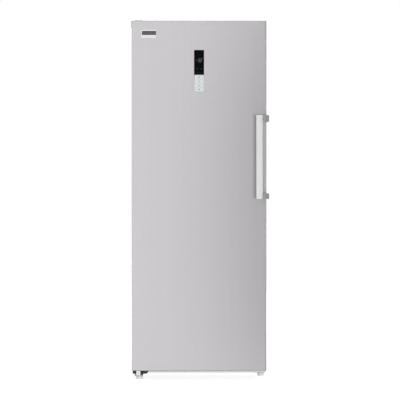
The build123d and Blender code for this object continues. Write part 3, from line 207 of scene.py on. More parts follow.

# Edge: finds the outer edges of a piece, where a finish is rubbed and a painted highlight is laid, and
# rounds them in the light. The rounded normal agrees with the flat one away from an edge, and leaves it
# towards the edge.
away_from_edge = 0.995
at_edge = 0.80
edge_group, given, out = node_group("edge", {"Radius mm": 1.0}, {"Edge": "Float", "Normal": "Vector"})
radius = add(edge_group, "Math", {0: given.outputs["Radius mm"], 1: mm}, operation="MULTIPLY")
round_off = add(edge_group, "Bevel", {"Radius": radius.outputs[0]}, samples=4)
flat = add(edge_group, "NewGeometry").outputs["Normal"]
agree = add(edge_group, "VectorMath", {0: round_off.outputs[0], 1: flat}, operation="DOT_PRODUCT")
turn = add(edge_group, "MapRange", {
    "Value": agree.outputs["Value"], "From Min": away_from_edge, "From Max": at_edge,
})
feed(edge_group, out, {"Edge": turn.outputs[0], "Normal": round_off.outputs[0]})

# Dust: a thin grey film on what faces up, broken by noise.
dust_group, given, out = node_group("dust", {"Amount": 0.4}, {"Mask": "Float"})
normal = add(dust_group, "SeparateXYZ", {0: add(dust_group, "NewGeometry").outputs["Normal"]})
upward = add(dust_group, "MapRange", {"Value": normal.outputs["Z"], "From Min": 0.35})
place = add(dust_group, "TexCoord").outputs["Object"]
patches = add(dust_group, "TexNoise", {"Vector": place, "Scale": 26.0, "Detail": 5.0, "Roughness": 0.65})
film = add(dust_group, "Math", {0: upward.outputs[0], 1: patches.outputs[0]}, operation="MULTIPLY")
share = add(
    dust_group, "Math", {0: film.outputs[0], 1: given.outputs["Amount"]}, operation="MULTIPLY", use_clamp=True
)
feed(dust_group, out, {"Mask": share.outputs[0]})


def blend_colour(tree, factor, low, high):
    """Mixes two colours by a factor. Each colour is three numbers or another node's output."""
    low, high = ((*c, 1) if isinstance(c, tuple) else c for c in (low, high))
    mix = add(tree, "Mix", {0: factor, 6: low, 7: high}, data_type="RGBA", clamp_factor=True)
    return mix.outputs[2]


def shade(colour, times):
    """A colour made darker or lighter, but no lighter than white."""
    return tuple(min(1, c * times) for c in colour)


# The pale grey that edges are painted towards: partly rubbed wear, partly a painted highlight.
rubbed_and_highlight_pale = (0.9, 0.9, 0.9)
dust_grey = (0.42, 0.40, 0.37)
coat_roughness = 0.12
cloud_gloss = 0.06


def finish(name, colour, roughness, metallic=0.0, grain_mm=0.8, bump_mm=0.01, edge_mm=0.8,
           edge_light=0.12, cloud=0.04, dust=0.0, coat=0.0, specular=0.5):
    """A sprayed, moulded or plated finish: base colour with clouding, edges painted paler as wear and as a
    painted highlight, dust and grain.
    """
    material, tree, shader = start_material(name)
    grain = add(tree, "Group", {"Size mm": grain_mm}, node_tree=grain_group)
    edge = add(tree, "Group", {"Radius mm": edge_mm}, node_tree=edge_group)
    tone = blend_colour(tree, grain.outputs["Cloud"], shade(colour, 1 - cloud), shade(colour, 1 + cloud))
    # Edges are painted paler, partly as rubbed wear and partly as a painted highlight.
    rubbed_and_highlit = add(tree, "Math", {0: edge.outputs["Edge"], 1: edge_light}, operation="MULTIPLY")
    tone = blend_colour(tree, rubbed_and_highlit.outputs[0], tone, rubbed_and_highlight_pale)
    if dust:
        film = add(tree, "Group", {"Amount": dust}, node_tree=dust_group)
        tone = blend_colour(tree, film.outputs["Mask"], tone, dust_grey)
    rough = add(tree, "MapRange", {
        "Value": grain.outputs["Cloud"], "To Min": roughness - cloud_gloss, "To Max": roughness + cloud_gloss,
    })
    bump = add(tree, "Bump", {
        "Height": grain.outputs["Height"], "Normal": edge.outputs["Normal"], "Distance": bump_mm * mm,
    })
    feed(tree, shader, {
        "Base Color": tone, "Roughness": rough.outputs[0], "Normal": bump.outputs[0], "Metallic": metallic,
        "Specular IOR Level": specular, "Coat Weight": coat, "Coat Roughness": coat_roughness,
    })
    return material


def dress(material, *names):
    """Gives CAD nodes their finish."""
    for name in names:
        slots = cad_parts[name].data.materials
        slots.clear()
        slots.append(material)


silver_paint = finish(
    "silver_paint", (0.72, 0.72, 0.73), 0.38, metallic=0.12, grain_mm=1.6, bump_mm=0.02, edge_mm=1.5,
    dust=0.25,
)
dress(silver_paint, "cabinet_shell")

# ------------------------------------------------------------------ back panel and floor pan
# Both are zinc coated steel sheet, left bare. The zinc has frozen in flat flakes nearly a centimetre
# wide, and the back panel is held by small pan head screws along its sides and top.
zinc_dark = (0.44, 0.46, 0.48)
zinc_pale = (0.60, 0.62, 0.63)
flakes_in_metre = 110.0
zinc, tree, shader = start_material("zinc_sheet")
place = add(tree, "TexCoord").outputs["Object"]
flakes = add(tree, "TexVoronoi", {"Vector": place, "Scale": flakes_in_metre, "Randomness": 1.0})
each_flake = add(tree, "SeparateColor", {0: flakes.outputs["Color"]})
flake_gloss = add(tree, "MapRange", {"Value": each_flake.outputs[1], "To Min": 0.34, "To Max": 0.58})
flake_bump = add(tree, "Bump", {"Height": each_flake.outputs[2], "Strength": 0.5, "Distance": 0.02 * mm})
feed(tree, shader, {
    "Base Color": blend_colour(tree, each_flake.outputs[0], zinc_dark, zinc_pale), "Metallic": 0.85,
    "Roughness": flake_gloss.outputs[0], "Normal": flake_bump.outputs[0],
})
dress(zinc, "back_panel", "machine_room_panel")


def new_piece(name, shape, material, body, smooth=35):
    """Turns a bmesh in the frame's own coordinates into a piece that rides on a body."""
    bmesh.ops.recalc_face_normals(shape, faces=shape.faces)
    mesh = bpy.data.meshes.new(name)
    shape.to_mesh(mesh)
    shape.free()
    mesh.materials.append(material)
    piece = bpy.data.objects.new(name, mesh)
    bpy.context.scene.collection.objects.link(piece)
    if smooth:
        mesh.shade_smooth()
        mesh.set_sharp_from_angle(angle=math.radians(smooth))
    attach(piece, body)
    return piece


def facing(direction, place):
    """The matrix that stands a shape made along +Z at a place, along a direction."""
    turn = Vector(direction).to_track_quat("Z", "Y").to_matrix().to_4x4()
    return Matrix.Translation(Vector(place)) @ turn


def join_rings(shape, rings):
    """Closes the bands between rings of points that follow one another."""
    for low, high in zip(rings, rings[1:]):
        for k in range(len(low)):
            n = (k + 1) % len(low)
            shape.faces.new((low[k], low[n], high[n], high[k]))


screw_radius = 0.0036
screw_height = 0.0018
recess_depth = screw_height * 0.5
recess_middle = screw_radius * 0.17
recess_arm = screw_radius * 0.56
recess_half_width = screw_radius * 0.11


def screw_head(shape, place, turn):
    """A pan head that faces back: rings of points over a dome, pressed in along a cross."""
    ring_count = 12
    spokes = 40
    lift = facing((0, 1, 0), place) @ Matrix.Rotation(turn, 4, "Z")
    middle = shape.verts.new(lift @ Vector((0, 0, screw_height - recess_depth)))
    rings = []
    for i in range(1, ring_count + 1):
        r = screw_radius * i / ring_count
        ring = []
        for k in range(spokes):
            a = 2 * math.pi * k / spokes
            x, y = r * math.cos(a), r * math.sin(a)
            z = screw_height * math.sqrt(max(0.0, 1 - (r / screw_radius) ** 3))
            aside, along = sorted((abs(x), abs(y)))
            if r < recess_middle or (aside < recess_half_width and along < recess_arm):
                z -= recess_depth
            ring.append(shape.verts.new(lift @ Vector((x, y, z))))
        rings.append(ring)
    for k in range(spokes):
        shape.faces.new((middle, rings[0][k], rings[0][(k + 1) % spokes]))
    join_rings(shape, rings)


back_low, back_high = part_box("back_panel")
rim_inset = 0.012
side_screws = 7
top_screws = 3
side_turn = 1.7
top_turn = 1.1
heads = bmesh.new()
for i in range(side_screws):
    z = back_low.z + rim_inset + i * (back_high.z - back_low.z - 2 * rim_inset) / (side_screws - 1)
    for x in (back_low.x + rim_inset, back_high.x - rim_inset):
        screw_head(heads, (x, back_high.y, z), turn=i * side_turn + x)
for i in range(1, top_screws + 1):
    x = back_low.x + i * (back_high.x - back_low.x) / (top_screws + 1)
    screw_head(heads, (x, back_high.y, back_high.z - rim_inset), turn=i * top_turn)
screw_steel = finish("zinc_screw", (0.46, 0.46, 0.47), 0.32, metallic=0.95, grain_mm=0.5, edge_mm=0.3)
new_piece("back_panel_screws", heads, screw_steel, "cabinet")

# ------------------------------------------------------------------ base rails
# The front rail closes the cabinet under the door, and the rear rail carries the compressor. Both are
# folded steel, sprayed like the wrap; their grey is painted a shade paler, as painted light under the door's
# shadow.
# Painted paler than the wrap's grey: painted light that lifts the front rail out of the door's shadow.
rail_paint = finish("rail_paint", (0.76, 0.76, 0.77), 0.40, grain_mm=1.2, bump_mm=0.02, dust=0.15)
dress(rail_paint, "base_rails")

# ------------------------------------------------------------------ insulation
# Polyurethane foam, blown between wrap and liner and inside the door. Its cut faces are pale yellow
# with a fine open cell, and it darkens a little where air reaches it.
foam = finish(
    "blown_foam", (0.78, 0.68, 0.42), 0.9, grain_mm=0.9, bump_mm=0.35, edge_light=0.0, cloud=0.14,
    specular=0.2,
)
dress(foam, "cabinet_foam", "door_foam")

# ------------------------------------------------------------------ liner and air cover
# The inside of the cabinet and of the door is white polystyrene sheet, formed under vacuum, with a
# soft gloss. The air cover in front of the evaporator is moulded in the same white.
liner_white = finish(
    "liner_white", (0.80, 0.81, 0.81), 0.30, grain_mm=2.4, bump_mm=0.015, edge_mm=2.0, edge_light=0.05,
    cloud=0.012,
)
dress(liner_white, "inner_liner", "door_liner", "evaporator_cover")

# ------------------------------------------------------------------ shelves
# Five sheets of toughened glass lie on the liner's ribs. Their ground edges are green, and a white
# moulded trim grips the front edge of each.
glass_clear = (0.86, 0.95, 0.92)
glass_edge = (0.30, 0.62, 0.52)
glass, tree, shader = start_material("shelf_glass")
edge = add(tree, "Group", {"Radius mm": 1.5}, node_tree=edge_group)
smear = add(tree, "Group", {"Cloud mm": 60.0}, node_tree=grain_group)
smear_gloss = add(tree, "MapRange", {"Value": smear.outputs["Cloud"], "To Min": 0.02, "To Max": 0.10})
feed(tree, shader, {
    "Base Color": blend_colour(tree, edge.outputs["Edge"], glass_clear, glass_edge),
    "Roughness": smear_gloss.outputs[0], "Transmission Weight": 0.92, "IOR": 1.5,
})
dress(glass, "glass_shelves")
trim_white = finish("trim_white", (0.84, 0.85, 0.86), 0.25, grain_mm=0.7, edge_light=0.04, cloud=0.01)
dress(trim_white, "shelf_trims")

# ------------------------------------------------------------------ evaporator
# Aluminium tube pushed through thin aluminium fins, with a steel sheathed heater clipped into their
# lower edge and a folded tray below that drains through the insulation in a black moulded pipe.
fin_metal = finish(
    "fin_aluminium", (0.70, 0.71, 0.72), 0.42, metallic=0.9, grain_mm=0.5, edge_light=0.3, cloud=0.08
)
dress(fin_metal, "evaporator", "drain_tray")
heater_sheath = finish("heater_sheath", (0.34, 0.31, 0.29), 0.40, metallic=0.9, cloud=0.2)
dress(heater_sheath, "defrost_heater")
black_moulding = finish(
    "black_moulding", (0.028, 0.028, 0.030), 0.46, grain_mm=0.6, bump_mm=0.03, edge_light=0.10, dust=0.35
)
dress(black_moulding, "drain_pipe")

# ------------------------------------------------------------------ fan
# A moulded seven-bladed wheel, pressed on the shaft of a small motor in a black housing. It turns in
# the ring of the air cover.
wheel_moulding = finish("wheel_moulding", (0.72, 0.73, 0.73), 0.40, grain_mm=0.6, edge_mm=0.5, cloud=0.02)
dress(wheel_moulding, "fan_blade")
dress(black_moulding, "fan_motor")

# ------------------------------------------------------------------ lamp
# A clear cover in the ceiling, moulded with fine ribs that spread the light. Over it lies a narrow
# white board with a row of diodes.
ribs_scale = 60.0
lamp_clear, tree, shader = start_material("lamp_clear")
place = add(tree, "TexCoord").outputs["Object"]
ribs = add(tree, "TexWave", {"Vector": place, "Scale": ribs_scale}, wave_type="BANDS", bands_direction="X")
rib_gloss = add(tree, "MapRange", {"Value": ribs.outputs["Fac"], "To Min": 0.12, "To Max": 0.26})
rib_bump = add(tree, "Bump", {"Height": ribs.outputs["Fac"], "Strength": 0.8, "Distance": 0.4 * mm})
feed(tree, shader, {
    "Base Color": (0.96, 0.97, 0.98, 1), "Roughness": rib_gloss.outputs[0], "Normal": rib_bump.outputs[0],
    "Transmission Weight": 0.85, "IOR": 1.49,
})
dress(lamp_clear, "lamp_cover")


def box_shape(shape, low, high, bevel=0.0):
    """A box between two corners, with its edges rounded over."""
    size = Vector(high) - Vector(low)
    middle = (Vector(high) + Vector(low)) / 2
    stretch = Matrix.Diagonal((*size, 1))
    made = bmesh.ops.create_cube(shape, size=1.0, matrix=Matrix.Translation(middle) @ stretch)
    if bevel:
        edges = list(dict.fromkeys(e for v in made["verts"] for e in v.link_edges))
        bmesh.ops.bevel(shape, geom=edges, offset=bevel, segments=3, affect="EDGES", profile=0.5)


lamp_low, lamp_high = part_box("lamp_cover")
strip_y = (lamp_low.y + lamp_high.y) / 2
strip_top = lamp_high.z
strip_face = strip_top - 0.0016
strip_half = 0.006
strip_inset = 0.01
lamp_strip = bmesh.new()
box_shape(
    lamp_strip, (lamp_low.x + strip_inset, strip_y - strip_half, strip_face),
    (lamp_high.x - strip_inset, strip_y + strip_half, strip_top),
)
board_white = finish("lamp_board", (0.75, 0.76, 0.76), 0.4, cloud=0.03)
new_piece("lamp_strip", lamp_strip, board_white, "cabinet")

diode_count = 8
diode_half = 0.0015
diode_face = strip_top - 0.0026
diode_inset = 0.02
diode_round = 0.0002
diodes = bmesh.new()
for i in range(diode_count):
    x = lamp_low.x + diode_inset + i * (lamp_high.x - lamp_low.x - 2 * diode_inset) / (diode_count - 1)
    box_shape(
        diodes, (x - diode_half, strip_y - diode_half, diode_face),
        (x + diode_half, strip_y + diode_half, strip_face), diode_round,
    )
diode_yellow = finish("diode_phosphor", (0.85, 0.78, 0.36), 0.35, grain_mm=0.3, cloud=0.05)
new_piece("lamp_diodes", diodes, diode_yellow, "cabinet")

# ------------------------------------------------------------------ compressor
# A sealed pump in two pressed steel halves, welded round the middle and dipped in black enamel. It
# stands on four rubber mounts, with black mouldings round it: relay box, drip tray and mains inlet.
black_enamel = finish(
    "black_enamel", (0.016, 0.016, 0.018), 0.24, grain_mm=3.0, bump_mm=0.08, edge_mm=1.0, edge_light=0.05,
    cloud=0.2, dust=0.45, coat=0.4,
)
dress(black_enamel, "compressor")
rubber = finish(
    "mount_rubber", (0.022, 0.022, 0.022), 0.72, grain_mm=0.5, bump_mm=0.04, edge_light=0.06, dust=0.4
)
dress(rubber, "compressor_grommets")
dress(black_moulding, "relay_box", "drip_tray", "mains_gland")

# ------------------------------------------------------------------ refrigerant pipes
# Drawn copper tube, bent by hand and brazed. It has gone brown in places, and each brazed joint has
# a bright collar of filler.
copper_brown = (0.28, 0.13, 0.075)
copper_bright = (0.83, 0.44, 0.28)
copper, tree, shader = start_material("drawn_copper")
tarnish = add(tree, "Group", {"Size mm": 0.6, "Cloud mm": 35.0}, node_tree=grain_group)
tarnish_gloss = add(tree, "MapRange", {
    "Value": tarnish.outputs["Cloud"], "From Min": 0.3, "From Max": 0.7, "To Min": 0.52, "To Max": 0.26,
})
tarnish_bump = add(tree, "Bump", {"Height": tarnish.outputs["Height"], "Distance": 0.01 * mm})
feed(tree, shader, {
    "Base Color": blend_colour(tree, tarnish.outputs["Cloud"], copper_brown, copper_bright),
    "Metallic": 0.95, "Roughness": tarnish_gloss.outputs[0], "Normal": tarnish_bump.outputs[0],
})
dress(copper, "refrigerant_pipes", "filter_drier")


def lathe(shape, profile, place, direction):
    """Turns a profile of (radius, height) points round an axis into an open band."""
    sides = 32
    lift = facing(direction, place)
    angles = [2 * math.pi * k / sides for k in range(sides)]
    rings = []
    for r, h in profile:
        rings.append([shape.verts.new(lift @ Vector((r * math.cos(a), r * math.sin(a), h))) for a in angles])
    join_rings(shape, rings)


drier_low, drier_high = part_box("filter_drier")
drier_x = (drier_low.x + drier_high.x) / 2
drier_y = (drier_low.y + drier_high.y) / 2
collar = [(0.0026, 0), (0.0040, 0.0008), (0.0044, 0.0020), (0.0038, 0.0034), (0.0026, 0.0042)]
collar_sink = 0.0012
joints = bmesh.new()
lathe(joints, collar, (drier_x, drier_y, drier_high.z - collar_sink), (0, 0, 1))
lathe(joints, collar, (drier_x, drier_y, drier_low.z + collar_sink), (0, 0, -1))
braze = finish("braze", (0.70, 0.60, 0.38), 0.3, metallic=0.95, grain_mm=0.5, bump_mm=0.06, cloud=0.2)
new_piece("brazed_joints", joints, braze, "cabinet")

# ------------------------------------------------------------------ condenser
# Steel tube and wire, spot welded into a grid and dipped in black enamel. It hangs on the back in
# four black moulded clips.
grid_enamel = finish(
    "grid_enamel", (0.018, 0.018, 0.020), 0.30, grain_mm=1.2, bump_mm=0.05, edge_mm=0.3, edge_light=0.04,
    cloud=0.2, dust=0.5,
)
dress(grid_enamel, "condenser_coil", "condenser_wires")
dress(black_moulding, "condenser_clips")


# ------------------------------------------------------------------ rollers, forks and feet
# The rear rollers are black nylon on steel axles in folded forks. The front feet are light grey
# mouldings on threaded stems, which turn to level the freezer.
def black_paint(name, dust=0.0):
    """Folded steel, sprayed black."""
    return finish(
        name, (0.045, 0.045, 0.047), 0.36, metallic=0.2, grain_mm=0.9, bump_mm=0.03, edge_mm=0.5,
        edge_light=0.14, dust=dust,
    )


black_nylon = finish("black_nylon", (0.035, 0.035, 0.037), 0.42, grain_mm=0.5, bump_mm=0.03, dust=0.2)
dress(black_nylon, "roller_left", "roller_right")
dress(black_paint("black_steel", dust=0.2), "leg_brackets")
foot_grey = finish("foot_grey", (0.80, 0.81, 0.82), 0.42, grain_mm=0.6, bump_mm=0.02, edge_light=0.2)
dress(foot_grey, "foot_left", "foot_right")

# ------------------------------------------------------------------ hinges and end caps
# Steel brackets with riveted pins, the upper one under a grey cap. The lower one is black where its
# flange is screwed to the cabinet and bare in front, and its pin stands in a white closing block. Grey
# moulded caps close the door's two ends, round the nylon bushes in which the pins turn; the bottom cap's grey
# is painted darker, as painted shade under the door.
flange_depth = 0.0036
paint_fade = 0.0008
bare_zinc = (0.62, 0.62, 0.64)
paint_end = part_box("lower_hinge_bracket")[1].y - flange_depth
lower_hinge_steel = black_paint("lower_hinge_steel")
tree = lower_hinge_steel.node_tree
shader = tree.nodes["Principled BSDF"]
black_tone = shader.inputs["Base Color"].links[0].from_socket
place = add(tree, "SeparateXYZ", {0: add(tree, "TexCoord").outputs["Object"]})
bare = add(tree, "MapRange", {
    "Value": place.outputs["Y"], "From Min": paint_end, "From Max": paint_end - paint_fade,
})
feed(tree, shader, {"Base Color": blend_colour(tree, bare.outputs[0], black_tone, bare_zinc)})
dress(lower_hinge_steel, "lower_hinge_bracket")
# The upper bracket takes the same grey, painted paler than the wrap's.
dress(rail_paint, "upper_hinge_bracket")
dress(screw_steel, "cabinet_screws")
white_nylon = finish(
    "white_nylon", (0.86, 0.86, 0.85), 0.36, grain_mm=0.5, edge_mm=0.5, edge_light=0.05, cloud=0.02
)
dress(white_nylon, "closing_cam", "door_bushes")
# The bottom cap is the same grey moulding as the top one, painted darker as painted shade.
for name, grey, capped in (
    ("cap_grey", (0.44, 0.44, 0.45), ("upper_hinge_cover", "door_top_cap")),
    ("shaded_cap_grey", (0.25, 0.25, 0.26), ("door_bottom_cap",)),
):
    dress(finish(name, grey, 0.44, grain_mm=0.5, bump_mm=0.03, edge_mm=0.6, edge_light=0.08), *capped)

# ------------------------------------------------------------------ drawers
# Six one-piece drawers, moulded in clear polystyrene with a faint blue cast. The walls are thin and
# let the light through; the plastic looks denser where it turns away, at the rims and in the corners, and the
# rims carry a painted highlight in paler blue.
wall_blue = (0.66, 0.78, 0.84)
rim_highlight_blue = (0.84, 0.92, 0.96)
wall_density = (0.16, 0.75)
rim_density = 0.5
clear, tree, shader = start_material("clear_polystyrene")
edge = add(tree, "Group", {"Radius mm": 2.5}, node_tree=edge_group)
haze = add(tree, "Group", {"Size mm": 2.0, "Cloud mm": 120.0}, node_tree=grain_group)
haze_gloss = add(tree, "MapRange", {
    "Value": haze.outputs["Cloud"], "From Min": 0.3, "From Max": 0.7, "To Min": 0.10, "To Max": 0.22,
})
haze_bump = add(tree, "Bump", {
    "Height": haze.outputs["Height"], "Normal": edge.outputs["Normal"], "Distance": 0.02 * mm,
})
turned = add(tree, "LayerWeight", {"Blend": 0.35})
walls = add(tree, "MapRange", {
    "Value": turned.outputs["Facing"], "To Min": wall_density[0], "To Max": wall_density[1],
})
rims = add(tree, "Math", {0: edge.outputs["Edge"], 1: rim_density}, operation="MULTIPLY")
density = add(tree, "Math", {0: walls.outputs[0], 1: rims.outputs[0]}, operation="ADD", use_clamp=True)
# The rims are painted a paler blue: a painted highlight.
feed(tree, shader, {
    "Base Color": blend_colour(tree, edge.outputs["Edge"], wall_blue, rim_highlight_blue), "IOR": 1.55,
    "Roughness": haze_gloss.outputs[0], "Alpha": density.outputs[0], "Normal": haze_bump.outputs[0],
})
dress(clear, *[f"drawer_{n}" for n in range(1, 7)])

# ------------------------------------------------------------------ door skin
# The front is thin steel sheet, brushed from top to bottom and sealed with a clear film, bent round
# both sides. The brushing shows as fine upright streaks in tone and gloss.
brush_group, given, out = node_group(
    "brushing", {"Across mm": 1.2, "Along mm": 220.0}, {"Streak": "Float", "Band": "Float"}
)
place = add(brush_group, "TexCoord").outputs["Object"]
across = times_in_metre(brush_group, given.outputs["Across mm"])
along = times_in_metre(brush_group, given.outputs["Along mm"])
stretch = add(brush_group, "CombineXYZ", {"X": across, "Y": across, "Z": along})
for scale, out_name, detail in ((1.0, "Streak", 6.0), (0.06, "Band", 3.0)):
    drawn = add(brush_group, "VectorMath", {0: place, 1: stretch.outputs[0]}, operation="MULTIPLY")
    streaks = add(brush_group, "TexNoise", {
        "Vector": drawn.outputs[0], "Scale": scale, "Detail": detail, "Roughness": 0.7,
    })
    feed(brush_group, out, {out_name: streaks.outputs[0]})
streak_gloss = 0.07
streak_bump_mm = 0.004
band_contrast = 0.6
band_weight = 0.5


def brushed(name, colour, roughness, metallic, across_mm, along_mm, contrast=0.05, edge_mm=1.5):
    """A brushed metal: streaks in tone, gloss and height, drawn out along Z."""
    material, tree, shader = start_material(name)
    brush = add(tree, "Group", {"Across mm": across_mm, "Along mm": along_mm}, node_tree=brush_group)
    edge = add(tree, "Group", {"Radius mm": edge_mm}, node_tree=edge_group)
    darkest = shade(colour, 1 - contrast)
    palest = shade(colour, 1 + contrast)
    tone = blend_colour(tree, brush.outputs["Streak"], darkest, palest)
    band = add(tree, "MapRange", {
        "Value": brush.outputs["Band"], "From Min": 0.35, "From Max": 0.65, "To Max": band_weight,
    })
    tone = blend_colour(tree, band.outputs[0], tone, shade(colour, 1 - contrast * band_contrast))
    rough = add(tree, "MapRange", {
        "Value": brush.outputs["Streak"], "To Min": roughness - streak_gloss,
        "To Max": roughness + streak_gloss,
    })
    bump = add(tree, "Bump", {
        "Height": brush.outputs["Streak"], "Normal": edge.outputs["Normal"], "Distance": streak_bump_mm * mm,
    })
    feed(tree, shader, {
        "Base Color": tone, "Metallic": metallic, "Roughness": rough.outputs[0], "Normal": bump.outputs[0],
    })
    return material


brushed_steel = brushed(
    "brushed_steel", (0.603, 0.585, 0.603), 0.20, metallic=0.60, across_mm=1.1, along_mm=260.0
)
dress(brushed_steel, "door_skin")

# ------------------------------------------------------------------ door gasket
# A soft grey extrusion, cut at 45 degrees and welded into a ring: a flat foot in the door's groove,
# a folded bellows, and a pocket with a strip magnet that pulls it to the cabinet.
gasket_low, gasket_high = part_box("door_gasket")
gasket_half = 0.011
gasket_deep = gasket_high.y - gasket_low.y
# The section in millimetres: outwards from its middle, and back from the door.
gasket_section = [
    (-10.6, 0.0), (10.6, 0.0), (10.8, 0.7), (10.2, 1.3), (6.4, 1.5), (5.6, 2.2), (7.4, 3.2), (8.2, 4.3),
    (7.5, 5.4), (5.2, 6.0), (5.0, 6.7), (8.4, 7.4), (9.8, 8.4), (9.9, 11.4), (9.2, 12.4), (-5.2, 12.4),
    (-6.0, 11.8), (-6.2, 8.2), (-5.4, 7.3), (-3.4, 6.8), (-3.6, 6.0), (-6.6, 5.2), (-7.6, 4.2), (-6.8, 3.2),
    (-4.6, 2.3), (-5.0, 1.6), (-9.8, 1.3), (-10.8, 0.6),
]
middle_x = (gasket_low.x + gasket_high.x) / 2
middle_z = (gasket_low.z + gasket_high.z) / 2
half_x = (gasket_high.x - gasket_low.x) / 2 - gasket_half
half_z = (gasket_high.z - gasket_low.z) / 2 - gasket_half
gasket = bmesh.new()
loops = []
for outwards, back in gasket_section:
    y = gasket_low.y + min(back * mm, gasket_deep)
    reach_x = half_x + outwards * mm
    reach_z = half_z + outwards * mm
    corners = ((-reach_x, -reach_z), (reach_x, -reach_z), (reach_x, reach_z), (-reach_x, reach_z))
    loops.append([gasket.verts.new((middle_x + x, y, middle_z + z)) for x, z in corners])
join_rings(gasket, loops + loops[:1])
gasket_rubber = finish(
    "gasket_rubber", (0.44, 0.44, 0.45), 0.62, grain_mm=0.7, bump_mm=0.02, edge_mm=0.5, edge_light=0.03,
    cloud=0.05,
)
seal = new_piece("magnetic_gasket", gasket, gasket_rubber, "door", smooth=50)
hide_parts("door_gasket")

# ------------------------------------------------------------------ display and keys
# A strip of black glass over a light grey moulding with four push keys. Dim figures and symbols are
# printed on the glass, and each key carries one plain dark symbol.
window_black = finish(
    "display_black", (0.003, 0.003, 0.004), 0.10, grain_mm=3.0, bump_mm=0.001, edge_mm=0.4, edge_light=0.06,
    cloud=0.1, specular=0.02,
)
dress(window_black, "display_window")
housing_grey = finish("housing_grey", (0.62, 0.64, 0.65), 0.34, grain_mm=0.6, edge_mm=0.3, edge_light=0.1)
dress(housing_grey, "panel_housing")
board_green = finish("board_green", (0.02, 0.16, 0.07), 0.4, cloud=0.1)
dress(board_green, "display_board")
key_grey = finish("key_grey", (0.64, 0.66, 0.67), 0.30, grain_mm=0.6, edge_mm=0.6, edge_light=0.15)
dress(key_grey, *[f"key_{n}" for n in range(1, 5)])


def ink(name, colour):
    """A thin matt print."""
    return finish(name, colour, 0.5, grain_mm=0.5, edge_mm=0.1, edge_light=0.0)


ink_rise = 0.00006


def stroke_print(shape, face_y, start, end, width):
    """A stroke with pointed ends on a face that looks along -Y, between two points (x, z)."""
    a, b = Vector(start), Vector(end)
    reach = (b - a).normalized() * width / 2
    side = Vector((-reach.y, reach.x))
    outline = (a + side, a - reach, a - side, b - side, b + reach, b + side)
    shape.faces.new([shape.verts.new((p.x, face_y - ink_rise, p.y)) for p in outline])


def ring_print(shape, face_y, x, z, radius, width, start=0, sweep=360):
    """A ring or arc, from an angle on round by a sweep."""
    steps = 28
    inner, outer = radius - width / 2, radius + width / 2
    angles = [math.radians(start + sweep * i / steps) for i in range(steps + 1)]
    for a, b in zip(angles, angles[1:]):
        quad = ((a, inner), (a, outer), (b, outer), (b, inner))
        shape.faces.new([
            shape.verts.new((x + math.cos(t) * r, face_y - ink_rise, z + math.sin(t) * r)) for t, r in quad
        ])


def power_print(shape, face_y, x, z, radius, width, bar_low, bar_high):
    """A ring that is open at the top, with an upright bar in the opening."""
    ring_print(shape, face_y, x, z, radius, width, start=120, sweep=300)
    stroke_print(shape, face_y, (x, z + bar_low), (x, z + bar_high), width)


def flake_print(shape, face_y, x, z, radius, width):
    """A frost symbol: six arms, each with two twigs."""
    twig_start = 0.55
    twig_length = 0.34 * radius
    twig_angle = math.radians(50)
    for k in range(6):
        a = math.radians(30 + 60 * k)
        tip = Vector((x + radius * math.cos(a), z + radius * math.sin(a)))
        stroke_print(shape, face_y, (x, z), tip, width)
        foot = Vector((x, z)).lerp(tip, twig_start)
        for b in (a - twig_angle, a + twig_angle):
            stroke_print(shape, face_y, foot, foot + Vector((math.cos(b), math.sin(b))) * twig_length, width)


window_low, window_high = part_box("display_window")
window_x = (window_low.x + window_high.x) / 2
glass_y = window_low.y
figure_height = 0.0165
figure_width = 0.0085
figure_stroke = 0.0013
figure_z = window_high.z - 0.0535
segment_gap = figure_stroke * 0.75
# The strokes of a seven-segment figure, as two points (x, z) in a box one wide and one high.
segments = {
    "a": ((0, 1), (1, 1)), "b": ((1, 1), (1, 0.5)), "c": ((1, 0.5), (1, 0)), "d": ((0, 0), (1, 0)),
    "e": ((0, 0), (0, 0.5)), "f": ((0, 0.5), (0, 1)), "g": ((0, 0.5), (1, 0.5)),
}
lit = {"1": "bc", "8": "abcdefg", "-": "g"}


def figure_print(shape, sign, left, width):
    """One figure on the glass, with gaps between its strokes."""
    for segment in lit[sign]:
        (x0, z0), (x1, z1) = segments[segment]
        a = Vector((left + x0 * width, figure_z + z0 * figure_height))
        b = Vector((left + x1 * width, figure_z + z1 * figure_height))
        gap = (b - a).normalized() * segment_gap
        stroke_print(shape, glass_y, a + gap, b - gap, figure_stroke)


minus_width = figure_width * 0.6
# Each sign of the reading, how far its left side is from the window's middle, and its width.
reading = (("-", -0.0165, minus_width), ("1", -0.0125, figure_width), ("8", 0.0015, figure_width))
figures_print = bmesh.new()
for sign, aside, width in reading:
    figure_print(figures_print, sign, window_x + aside, width)
degree_x = window_x + 0.0145
degree_radius = 0.0012
degree_z = figure_z + figure_height - degree_radius
ring_print(figures_print, glass_y, degree_x, degree_z, degree_radius, degree_radius / 2)
figure_ink = ink("figure_ink", (0.16, 0.17, 0.17))
new_piece("display_figures", figures_print, figure_ink, "door", smooth=0)

icon_z = window_high.z - 0.083
icon_aside = 0.009
flake_radius = 0.0030
power_radius = 0.0026
power_stroke = 0.0006
power_bar_high = 0.0036
line_z = window_low.z + 0.0085
line_half = 0.013
thin_stroke = 0.0005
icons_print = bmesh.new()
flake_print(icons_print, glass_y, window_x - icon_aside, icon_z, flake_radius, thin_stroke)
power_print(
    icons_print, glass_y, window_x + icon_aside, icon_z, power_radius, power_stroke,
    bar_low=power_stroke, bar_high=power_bar_high,
)
line = ((window_x - line_half, line_z), (window_x + line_half, line_z))
stroke_print(icons_print, glass_y, *line, thin_stroke)
icon_ink = ink("icon_ink", (0.06, 0.06, 0.065))
new_piece("display_icons", icons_print, icon_ink, "door", smooth=0)

